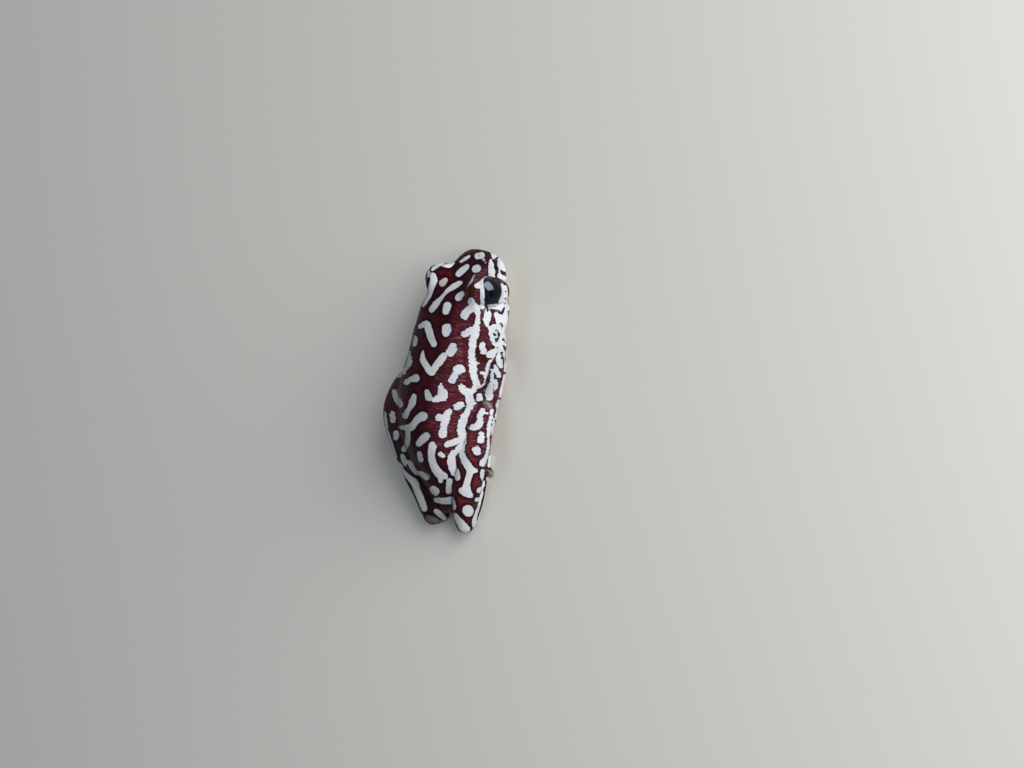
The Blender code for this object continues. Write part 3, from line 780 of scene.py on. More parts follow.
@dataclass(frozen=True)
class SkinFinish:
    """Moist, finely wrinkled skin with off-white markings edged in indigo on maroon, with painted shade and
    painted sheen in its colour.
    """

    # The deepest maroon is the frog's own ground, and is also laid on as painted shade.
    maroon_deep: Colour = linear(32, 6, 11)
    maroon: Colour = linear(89, 19, 30)
    russet: Colour = linear(98, 42, 36)
    # Painted sheen: mauve over the lit right side and, weaker, both flanks, and a pale pink for painted
    # highlights on the wrinkles.
    mauve: Colour = linear(112, 48, 62)
    sheen: Colour = linear(158, 112, 124)
    indigo: Colour = linear(20, 12, 38)
    off_white: Colour = linear(200, 203, 208)
    cool: Colour = linear(172, 182, 202)
    # Grey for the pale marks in painted shade, and for a faint mottle in all pale marks.
    ash: Colour = linear(168, 172, 172)
    blush: Colour = linear(156, 142, 148)
    cream: Colour = linear(214, 200, 184)
    # Grey of the soles, heel and toe, also used for the painted shadow at the elbow.
    earth: Colour = linear(134, 130, 124)
    # Dark brown of the painted shade in recesses.
    umber: Colour = linear(52, 20, 11)
    # Painted shade on the grey patches of the left side.
    peat: Colour = linear(82, 75, 66)
    under: Colour = linear(150, 84, 62)
    relief: float = 0.05

    def material(self) -> bpy.types.Material:
        """Build the skin's material; the mesh carries the markings' distances and the washes, painted shade
        and sheen among them.
        """
        s = Shader("moist_patterned_skin")
        place = s.place()
        ripple = s.noise(s.stretch(place, 0.9, 3.2, 0.9), scale=1.0, detail=2.0)
        wrinkles = s.noise(s.stretch(place, 1.1, 6.4, 1.1), scale=1.0, detail=2.0, rough=0.6)
        grain = s.noise(place, scale=5.0, detail=3.0)
        blotch = s.noise(place, scale=0.55, detail=2.0)
        wrinkled, bloom, shaded = (s.attribute(name) for name in ("wrinkled", "bloom", "shaded"))
        edge = s.attribute("mark") + (ripple - 0.5) * wrinkled * 0.5
        edge = edge + (wrinkles - 0.5) * wrinkled * 0.34 + (grain - 0.5) * 0.12
        rim = 1 - edge.ease(0.03, 0.24)
        ground = s.layers(
            self.maroon_deep,
            (edge.ease(0.1, 0.95) * blotch.ease(0.25, 0.75), self.maroon),
            (s.attribute("warm") * edge.ease(0.1, 0.6),
             s.layers(self.maroon, (blotch.ease(0.2, 0.8), self.russet))),
            # Painted shade: the left side darkened, as it lies away from the light.
            (shaded * 0.85, self.maroon_deep),
            # Painted shade in recesses, dark brown.
            (s.attribute("dusk") * 0.85, self.umber),
            # Painted sheen: mauve on the lit right side, weaker along both flanks.
            (bloom * 0.45, self.mauve),
            # Painted shade in the troughs and painted highlights on the crests of the fine wrinkles, where
            # the sheen lies.
            (wrinkles.ease(0.46, 0.34) * bloom * 0.7, self.maroon_deep),
            (wrinkles.ease(0.54, 0.7) * bloom * 0.6, self.sheen),
            (rim * (0.5 + 0.45 * blotch.ease(0.35, 0.6)), self.indigo),
        )
        pale = s.layers(
            self.off_white,
            # Painted shade: the left side's pale marks greyed.
            (s.attribute("ashen"), self.ash),
            (s.attribute("blush"), self.blush),
            (blotch.ease(0.4, 0.7) * 0.45, self.cool),
            (grain.ease(0.5, 0.75) * 0.3, self.ash),
        )
        earthen = 1 - (s.attribute("earthen") + (grain - 0.5) * 0.3).ease(-0.2, 0.12)
        colour = s.layers(
            ground,
            (1 - edge.ease(-0.045, 0.035), pale),
            # Grey patches, with the painted shadow at the elbow, darker still under the left side's painted
            # shade.
            (earthen * 0.85, s.layers(self.earth, (shaded, self.peat))),
            # Painted shade along the folds and round the lid openings.
            ((1 - s.attribute("fold").ease(-0.03, 0.05)) * 0.8, self.indigo),
            (s.attribute("underside"), s.layers(self.under, (s.attribute("belly"), self.cream))),
        )
        cobbles = s.cells(place, scale=4.2).ease(0.0, 0.35)
        height = cobbles * 0.5 + grain * 0.35 + (ripple * 1.6 + wrinkles * 1.1) * wrinkled
        return s.finish(
            Base_Color=colour, Roughness=0.34 + grain * 0.22 + blotch * 0.08,
            Normal=s.bump(height, self.relief * MM), Coat_Weight=0.07, Coat_Roughness=0.16,
            Specular_IOR_Level=0.12, IOR=1.4,
        )


@dataclass(frozen=True)
class EyeFinish:
    """A dark olive iris round a black level pupil, under a wet clear surface."""

    iris: Colour = linear(12, 20, 29)
    fleck: Colour = linear(60, 60, 26)
    rim: Colour = linear(26, 38, 56)
    pupil: Colour = linear(3, 3, 4)
    wet: Colour = (0.66, 0.84, 1.0, 1.0)

    def material(self, name: str) -> bpy.types.Material:
        """Build the eye's material; the mesh carries the pupil's and the iris's distances."""
        s = Shader(name)
        streaks = s.noise(s.place(), scale=7.0, detail=4.0, rough=0.7)
        colour = s.layers(
            self.iris,
            (streaks.ease(0.64, 0.8), self.fleck),
            (s.attribute("iris").ease(0.86, 1.0), self.rim),
            (1 - s.attribute("pupil").ease(0.92, 1.04), self.pupil),
        )
        return s.finish(
            Base_Color=colour, Roughness=0.3, Specular_IOR_Level=0.05, Coat_Weight=0.4,
            Coat_Roughness=0.02, Coat_Tint=self.wet,
        )


@dataclass(frozen=True)
class FloorFinish:
    """A matt pale studio floor."""

    paper: Colour = linear(226, 228, 224)

    def material(self) -> bpy.types.Material:
        """Build the floor's material."""
        s = Shader("studio_floor")
        tooth = s.noise(s.place(), scale=0.9, detail=2.0)
        return s.finish(Base_Color=self.paper, Roughness=0.85 + tooth * 0.1)


# The eyes


GAZES = {"left": (22.0, 4.0), "right": (30.0, 15.0)}


@dataclass(frozen=True)
class EyeBall:
    """One eye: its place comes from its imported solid, its look from the species."""

    side: str
    opening_long: float = 1.68
    opening_tall: float = 1.16
    opening_square: float = 4.0
    pupil_long: float = 1.24
    pupil_tall: float = 0.92
    bulge: float = 0.05
    rings: int = 56
    sectors: int = 96

    def solid(self) -> str:
        """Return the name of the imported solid."""
        return f"eye_{self.side}"

    def centre(self) -> np.ndarray:
        """Return the ball's centre."""
        return sum(node_box(self.solid())) / 2

    def radius(self) -> float:
        """Return the ball's radius."""
        low, high = node_box(self.solid())
        return float(max(high - low)) / 2

    def outward(self) -> float:
        """Return the way out of the body along x, -1 on the right and 1 on the left."""
        return -1.0 if self.side == "right" else 1.0

    def gaze(self) -> np.ndarray:
        """Return the direction out of the eye's middle, from its turn ahead and its rise in degrees."""
        ahead, rise = (math.radians(angle) for angle in GAZES[self.side])
        level = self.outward() * math.cos(ahead), -math.sin(ahead)
        return np.array((math.cos(rise) * level[0], math.cos(rise) * level[1], math.sin(rise)))

    def axes(self) -> tuple[np.ndarray, np.ndarray, np.ndarray]:
        """Return the directions along the lid opening, across it, and out of the eye."""
        gaze = self.gaze()
        tall = unit(UP - UP @ gaze * gaze)
        return np.cross(tall, gaze) * self.outward(), tall, gaze

    def polar(self, points: np.ndarray) -> tuple[np.ndarray, np.ndarray]:
        """Return how far points lie from the ball's centre, and their directions from it."""
        away = points - self.centre()
        distance = np.linalg.norm(away, axis=1)
        return distance, away / distance[:, None]

    def beyond(self, directions: np.ndarray) -> np.ndarray:
        """Measure directions from the centre against the lid opening.

        Args:
            directions: Unit vectors from the ball's centre.

        Returns:
            0 on the lid's margin, less inside the opening, more outside it, and most behind the ball.
        """
        long, tall, gaze = self.axes()
        u = directions @ long * self.radius() / self.opening_long
        v = directions @ tall * self.radius() / self.opening_tall
        square = np.where((u > 0) & (v > 0), self.opening_square, 2.0)
        value = (np.abs(u) ** square + np.abs(v) ** square) ** (1 / square)
        return np.where(directions @ gaze > 0, value - 1, 2 - value)

    def build(self, finish: EyeFinish) -> bpy.types.Object:
        """Build the eye.

        Args:
            finish: Its finish.

        Returns:
            The eye, riding on the body in place of its solid.
        """
        turns = np.arange(self.sectors) * 2 * math.pi / self.sectors
        falls = np.arange(1, self.rings) * math.pi / self.rings
        fall, turn = np.meshgrid(falls, turns, indexing="ij")
        ring = np.stack((np.sin(fall) * np.cos(turn), np.sin(fall) * np.sin(turn), np.cos(fall)), axis=-1)
        local = np.vstack(((0, 0, 1), ring.reshape(-1, 3), (0, 0, -1)))
        swell = self.bulge * np.clip(local[:, 2] * 2 - 1, 0, 1) ** 2
        away = local @ np.stack(self.axes())
        corners = self.centre() + away * (self.radius() + swell)[:, None]
        last = len(local) - 1
        faces = []
        for j in range(self.sectors):
            k = (j + 1) % self.sectors
            faces.append((0, 1 + j, 1 + k))
            faces.append((last, last - self.sectors + k, last - self.sectors + j))
            for i in range(self.rings - 2):
                a, b = 1 + i * self.sectors, 1 + (i + 1) * self.sectors
                faces.append((a + j, b + j, b + k, a + k))
        piece = make_object(f"eyeball_{self.side}", corners, faces)
        recalculate(piece)
        u, v = local[:, 0] * self.radius(), local[:, 1] * self.radius()
        pupil = np.hypot(u / self.pupil_long, v / self.pupil_tall) + (local[:, 2] < 0) * 2
        carry(piece, pupil=pupil, iris=np.hypot(u, v) / self.radius())
        piece.data.materials.append(finish.material(f"wet_eye_{self.side}"))
        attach(piece, BODY)
        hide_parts(self.solid())
        return piece


def recalculate(piece: bpy.types.Object) -> None:
    """Turn a closed piece's faces outward."""
    shell = bmesh.new()
    shell.from_mesh(piece.data)
    bmesh.ops.recalc_face_normals(shell, faces=shell.faces)
    shell.to_mesh(piece.data)
    shell.free()


# The skin


class DistanceGrid:
    """Signed distances to the flesh on a regular grid, less than 0 inside and FAR at most."""

    FAR = 2.4
    CELL = tuple(product((0, 1), repeat=3))

    def __init__(self, low: np.ndarray, high: np.ndarray, step: float) -> None:
        """Start an empty grid.

        Args:
            low: Lowest corner in millimetres.
            high: Highest corner in millimetres.
            step: Distance between grid points.
        """
        self.low = low
        self.step = step
        self.shape = tuple(int(math.ceil(side / step)) + 1 for side in high - low)
        self.values = np.full(self.shape, self.FAR)

    def window(self, name: str) -> Window:
        """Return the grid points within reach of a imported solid."""
        low, high = node_box(name)
        first = np.maximum(((low - self.FAR - self.low) / self.step).astype(int), 0)
        last = np.minimum(((high + self.FAR - self.low) / self.step).astype(int) + 2, self.shape)
        return tuple(slice(a, b) for a, b in zip(first, last))

    def axes(self, window: Window) -> list[np.ndarray]:
        """Return the window's coordinates along each axis."""
        return [self.low[i] + self.step * np.arange(part.start, part.stop) for i, part in enumerate(window)]

    def places(self) -> list[np.ndarray]:
        """Return the coordinates of the whole grid, ready for sums over it."""
        everywhere = tuple(slice(0, n) for n in self.shape)
        return np.meshgrid(*self.axes(everywhere), indexing="ij", sparse=True)

    def solid(self, name: str, window: Window) -> np.ndarray:
        """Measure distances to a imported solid.

        Args:
            name: The node's name.
            window: The grid points to measure at.

        Returns:
            Signed distances, limited to FAR.
        """
        corners, triangles = node_mesh(name)
        tree = BVHTree.FromPolygons(corners.tolist(), triangles.tolist())
        xs, ys, zs = self.axes(window)
        result = np.empty((len(xs), len(ys), len(zs)))
        for (i, x), (j, y) in product(enumerate(xs.tolist()), enumerate(ys.tolist())):
            found = (tree.find_nearest((x, y, z), self.FAR)[3] for z in zs.tolist())
            away = np.array([self.FAR if d is None else d for d in found])
            result[i, j] = np.where(self.crossings(tree, x, y, zs), -away, away)
        return result

    @staticmethod
    def crossings(tree: BVHTree, x: float, y: float, zs: np.ndarray) -> np.ndarray:
        """Tell which heights of a column lie inside a closed mesh.

        Args:
            tree: The mesh.
            x: The column's place.
            y: The column's place.
            zs: Heights in rising order.

        Returns:
            True where the height is inside.
        """
        nudge, start = 0.00137, 1.0
        origin = Vector((x + nudge, y + nudge / 2, zs[0] - start))
        hits = []
        while (place := tree.ray_cast(origin, Vector(UP))[0]) is not None:
            hits.append(place.z)
            origin.z = place.z + nudge / 10
        if len(hits) % 2:
            hits.append(hits[-1])
        return np.searchsorted(hits, zs) % 2 == 1

    @staticmethod
    def blurred(values: np.ndarray, width: float) -> np.ndarray:
        """Blur by a bell curve whose width is given in grid steps."""
        tails = 2.6
        reach = int(math.ceil(tails * width))
        taps = np.exp(-0.5 * (np.arange(-reach, reach + 1) / width) ** 2)
        taps /= taps.sum()
        for axis in range(3):
            size = values.shape[axis]
            padded = np.pad(values, [(reach, reach) if a == axis else (0, 0) for a in range(3)], mode="edge")
            total = 0.0
            for n, tap in enumerate(taps):
                part = tuple(slice(n, n + size) if a == axis else slice(None) for a in range(3))
                total = total + tap * padded[part]
            values = total
        return values

    def smoothed(self, values: np.ndarray, width: float) -> np.ndarray:
        """Round off flat facets of a given size without thinning the shape."""
        once = self.blurred(values, width / self.step)
        return 2 * once - self.blurred(once, width / self.step)

    def surface(self) -> tuple[np.ndarray, np.ndarray]:
        """Wrap the flesh in squares, one corner in each grid cell that the surface crosses.

        Returns:
            Corners in millimetres and faces of four corners, facing outward.
        """
        inside = self.values < 0
        cells = tuple(n - 1 for n in self.shape)
        count = np.zeros(cells, np.int8)
        for a, b, c in self.CELL:
            count += inside[a:a + cells[0], b:b + cells[1], c:c + cells[2]]
        active = np.argwhere((count > 0) & (count < 8))
        number = np.full(cells, -1)
        number[tuple(active.T)] = np.arange(len(active))
        return self.cell_corners(active), self.cell_faces(inside, number)

    def cell_corners(self, active: np.ndarray) -> np.ndarray:
        """Put a corner in each crossed cell, at the mean of the places where its edges are crossed.

        Args:
            active: The cells' places in the grid.

        Returns:
            Corners in millimetres.
        """
        total = np.zeros((len(active), 3))
        hits = np.zeros(len(active))
        for axis, corner in product(range(3), self.CELL):
            if corner[axis]:
                continue
            start = active + corner
            end = start.copy()
            end[:, axis] += 1
            first, last = self.values[tuple(start.T)], self.values[tuple(end.T)]
            crossed = (first < 0) != (last < 0)
            point = start.astype(float)
            point[:, axis] += np.where(crossed, first / np.where(crossed, first - last, 1.0), 0.0)
            total += point * crossed[:, None]
            hits += crossed
        return self.low + total / hits[:, None] * self.step

    @staticmethod
    def cell_faces(inside: np.ndarray, number: np.ndarray) -> np.ndarray:
        """Join the corners of the four cells round each grid edge that the surface crosses.

        Args:
            inside: Which grid points are inside.
            number: The number of each cell's corner.

        Returns:
            Faces of four corners, facing outward.
        """
        faces = []
        for axis in range(3):
            across = [(axis + 1) % 3, (axis + 2) % 3]
            here = [slice(1, n) for n in number.shape]
            ahead = list(here)
            here[axis] = slice(0, number.shape[axis])
            ahead[axis] = slice(1, number.shape[axis] + 1)
            edges = np.argwhere(inside[tuple(here)] != inside[tuple(ahead)])
            edges[:, across] += 1
            ring = []
            for back in ((1, 1), (0, 1), (0, 0), (1, 0)):
                cell = edges.copy()
                cell[:, across] -= back
                ring.append(number[tuple(cell.T)])
            quads = np.stack(ring, axis=1)
            outward = inside[tuple(edges.T)]
            quads[~outward] = quads[~outward][:, ::-1]
            faces.append(quads)
        return np.vstack(faces)

    def read(self, measure: np.ndarray, points: np.ndarray) -> np.ndarray:
        """Read a measure between grid points.

        Args:
            measure: A number at each grid point.
            points: Places in millimetres.

        Returns:
            The measure there.
        """
        place = (points - self.low) / self.step
        base = np.clip(place.astype(int), 0, np.array(self.shape) - 2)
        part = place - base
        result = np.zeros(len(points))
        for corner in self.CELL:
            result += np.prod(np.where(corner, part, 1 - part), axis=1) * measure[tuple((base + corner).T)]
        return result


class Neighbours:
    """The edges of a mesh, for evening out values between joined corners."""

    def __init__(self, faces: np.ndarray, count: int) -> None:
        """Gather the edges.

        Args:
            faces: Faces, all with the same number of corners.
            count: How many corners there are.
        """
        rings = np.concatenate([faces[:, (i, (i + 1) % faces.shape[1])] for i in range(faces.shape[1])])
        both = np.concatenate((rings, rings[:, ::-1]))
        self.start, self.end = np.unique(both, axis=0).T
        self.degree = np.bincount(self.start, minlength=count)
        self.count = count

    def mean(self, values: np.ndarray) -> np.ndarray:
        """Average each corner's neighbours."""
        parts = [np.bincount(self.start, values[self.end, i], self.count) for i in range(values.shape[1])]
        return np.stack(parts, axis=1) / np.maximum(self.degree, 1)[:, None]

    def pull(self, values: np.ndarray, share: np.ndarray | float) -> np.ndarray:
        """Return the way from each corner to its neighbours' mean, as far as its share says."""
        return np.reshape(share, (-1, 1)) * (self.mean(values) - values)


def largest_part(corners: np.ndarray, faces: np.ndarray) -> tuple[np.ndarray, np.ndarray]:
    """Keep the largest connected part of a mesh.

    Args:
        corners: Its corners.
        faces: Its faces.

    Returns:
        The corners and faces of the largest part.
    """
    label = np.arange(len(corners))
    while True:
        lowest = label[faces].min(axis=1)
        fresh = label.copy()
        np.minimum.at(fresh, faces.ravel(), np.repeat(lowest, faces.shape[1]))
        fresh = fresh[fresh]
        if (fresh == label).all():
            break
        label = fresh
    biggest = np.bincount(label[faces[:, 0]]).argmax()
    kept = label == biggest
    number = np.cumsum(kept) - 1
    return corners[kept], number[faces[kept[faces[:, 0]]]]


def midline(behind: np.ndarray) -> np.ndarray:
    """Return how far across the body's middle lies at each place along it."""
    middles = np.array([sum(node_box(name)) / 2 for name in ("head", "torso")])
    return np.interp(behind, middles[:, 1], middles[:, 0])


@dataclass(frozen=True)
class Region:
    """Solids of flesh that are rounded and joined alike."""

    solids: tuple[str, ...]
    rounding: float
    fold: float
    blend: float


@dataclass(frozen=True)
class Pad:
    """Soft flesh that fills a hollow between two solids, placed as shares of the torso's box."""

    start: Point
    end: Point
    radius: float
    blend: float

    def distance(self, xs: np.ndarray, ys: np.ndarray, zs: np.ndarray) -> np.ndarray:
        """Measure distances to the pad at the places of a grid.

        Args:
            xs: Places across.
            ys: Places along.
            zs: Places upward.

        Returns:
            Distances in millimetres, less than 0 inside the pad.
        """
        low, high = node_box("torso")
        start, end = (low + np.array(share) * (high - low) for share in (self.start, self.end))
        along = end - start
        away = [places - first for places, first in zip((xs, ys, zs), start)]
        t = np.clip(sum(a * b for a, b in zip(away, along)) / (along @ along), 0, 1)
        return np.sqrt(sum((a - t * b) ** 2 for a, b in zip(away, along))) - self.radius


@dataclass(frozen=True)
class Ridge:
    """A rounded ridge in the skin, or a groove where its height is less than 0."""

    height: float
    width: float
    middle: float = 0.0

    def rise(self, away: np.ndarray) -> np.ndarray:
        """Return how far the skin rises at each distance from the line of the ridge."""
        return self.height * np.exp(-(((away - self.middle) / self.width) ** 2))


@dataclass(frozen=True)
class Mouth:
    """The line of the mouth: its heights at the snout and the corners, its droop and its lips."""

    front: float = 2.3
    corner: float = 2.7
    length: float = 0.88
    droop: float = 14.0
    droop_start: float = 0.82
    fade: float = 0.7
    overrun: float = 1.2
    lips: tuple[Ridge, ...] = (Ridge(-0.2, 0.11), Ridge(0.1, 0.24, 0.34), Ridge(0.05, 0.22, -0.34))

    def measure(self, corners: np.ndarray) -> tuple[np.ndarray, np.ndarray]:
        """Measure the skin against the line of the mouth.

        Args:
            corners: The skin's corners.

        Returns:
            Heights above the line, and how strongly the line is drawn, 0 past its corners.
        """
        low, high = node_box("head")
        behind = corners[:, 1] - low[1]
        end = self.length * (high[1] - low[1])
        along = np.clip(behind / end, 0, self.overrun)
        line = self.front + (self.corner - self.front) * along
        line -= self.droop * np.maximum(along - self.droop_start, 0) ** 2
        return corners[:, 2] - line, smooth_step(behind, end, end - self.fade)

    def shift(self, corners: np.ndarray) -> np.ndarray:
        """Return how far the lips rise, and the line between them sinks, at each corner."""
        height, drawn = self.measure(corners)
        return sum(ridge.rise(height) for ridge in self.lips) * drawn


@dataclass(frozen=True)
class Undulation:
    """The skin's fine unevenness, calm round the eyes and near the floor."""

    swell_waves: float = 0.42
    swell_height: float = 0.1
    ripple_waves: Point = (1.1, 2.0, 1.1)
    ripple_height: float = 0.018
    off_eyes: Band = (2.1, 3.2)
    off_floor: Band = (0.6, 2.0)

    def shift(self, corners: np.ndarray) -> np.ndarray:
        """Return how far the skin rises at each corner."""
        swell, ripple = (
            np.array([noise.noise(Vector(place)) for place in (corners * waves).tolist()])
            for waves in (self.swell_waves, self.ripple_waves)
        )
        eyes = np.min([EyeBall(side).polar(corners)[0] for side in SIDES], axis=0)
        calm = eased((eyes, self.off_eyes), (corners[:, 2], self.off_floor))
        return (self.swell_height * swell + self.ripple_height * ripple) * calm


@dataclass(frozen=True)
class Washes:
    """Soft changes of colour and texture over the body, among them painted shade over the left side and in
    recesses, and painted sheen on the lit right side.

    A band runs from where a wash sets in to where it is full, aside from the midline, along the
    body, above the floor, or in how far the skin faces upward.
    """

    warm_aside: Band = (2.4, 5.0)
    warm_along: Band = (0.0, 6.0)
    low_height: Band = (1.5, 0.9)
    low_facing: Band = (-0.5, 0.1)
    flank_aside: Band = (1.2, 3.4)
    flank_front: Band = (-9.0, -5.0)
    flank_rear: Band = (9.0, 4.0)
    flank_bloom: float = 0.4
    under_facing: Band = (-0.7, -0.92)
    under_height: Band = (3.2, 2.2)
    belly_aside: Band = (5.4, 4.2)
    lit_aside: Band = (0.8, 3.4)
    lit_rear: Band = (10.0, 4.0)
    bloom: float = 0.7
    shaded_aside: Band = (0.4, 3.2)
    shaded_front: Band = (-9.0, -4.0)
    wrinkled_front: Band = (-12.0, -8.0)
    least_wrinkled: float = 0.25
    rough_aside: Band = (2.4, 4.4)
    rough_facing: Band = (0.6, 0.1)
    rough_front: Band = (-8.5, -6.0)
    rough_height: Band = (0.4, 0.7)
    flank_rough: float = 0.7

    def store(self, piece: bpy.types.Object, corners: np.ndarray, facing: np.ndarray,
              dusk: np.ndarray) -> None:
        """Store the washes at the skin's corners.

        Args:
            piece: The skin.
            corners: Its corners.
            facing: How far each corner faces upward, from -1 to 1.
            dusk: How far each corner lies in a patch of painted shade in a recess, from 0 to 1.
        """
        across, along, height = corners.T
        leftward = across - midline(along)
        aside = np.abs(leftward)
        warm = eased((aside, self.warm_aside), (along, self.warm_along))
        low = eased((height, self.low_height), (facing, self.low_facing))
        flank = eased((aside, self.flank_aside), (along, self.flank_front), (along, self.flank_rear))
        under = eased((facing, self.under_facing), (height, self.under_height))
        lit = eased((-leftward, self.lit_aside), (along, self.lit_rear))
        wrinkled = np.maximum(flank, lit * eased((along, self.wrinkled_front)))
        rough = eased((aside, self.rough_aside), (facing, self.rough_facing), (along, self.rough_front))
        carry(
            piece,
            warm=np.maximum(warm, low),
            # Painted sheen on the lit right side, with a weaker paler tone along both flanks, kept out of the
            # painted shade in recesses.
            bloom=np.maximum(lit, flank * self.flank_bloom) * self.bloom * (1 - dusk),
            dusk=dusk,
            # Painted shade over the left side.
            shaded=eased((leftward, self.shaded_aside), (along, self.shaded_front)),
            wrinkled=self.least_wrinkled + (1 - self.least_wrinkled) * wrinkled,
            underside=under,
            belly=eased((aside, self.belly_aside)),
            granular=np.maximum(rough * self.flank_rough, under) * eased((height, self.rough_height)),
        )


@dataclass(frozen=True)
class Chain:
    """A stroke laid on the skin, as beads with bars between them."""

    beads: np.ndarray
    radii: np.ndarray
    slopes: np.ndarray
    reach: float = 14.0
    depth_weight: float = 0.22
    lift_weight: float = 1.3

    def distance(self, points: np.ndarray) -> np.ndarray:
        """Measure distances to the chain, as the picture shows them.

        Args:
            points: Pixels and depths.

        Returns:
            Signed distances in pixels, less than 0 within the chain, and large far from it.
        """
        span = self.reach * np.array((1, 1, 3))
        low, high = self.beads.min(0) - span, self.beads.max(0) + span
        near = np.flatnonzero(((points > low) & (points < high)).all(axis=1))
        local = points[near]
        best = np.full(len(near), FAR_AWAY)
        for i, j in list(zip(range(len(self.beads)), range(1, len(self.beads)))) or [(0, 0)]:
            along = self.beads[j] - self.beads[i]
            length = max(along[:2] @ along[:2], TINY)
            t = np.clip((local[:, :2] - self.beads[i, :2]) @ along[:2] / length, 0, 1)[:, None]
            gap = local - self.beads[i] - t * along
            slope = unit(self.slopes[i] + t * (self.slopes[j] - self.slopes[i]) + TINY)
            lift = (gap * slope).sum(axis=1) * self.lift_weight
            depth = gap[:, 2] * self.depth_weight
            radius = self.radii[i] + (self.radii[j] - self.radii[i]) * t[:, 0]
            away = np.sqrt(gap[:, 0] ** 2 + gap[:, 1] ** 2 + depth ** 2 + lift ** 2)
            best = np.minimum(best, away - radius)
        result = np.full(len(points), FAR_AWAY)
        result[near] = best
        return result


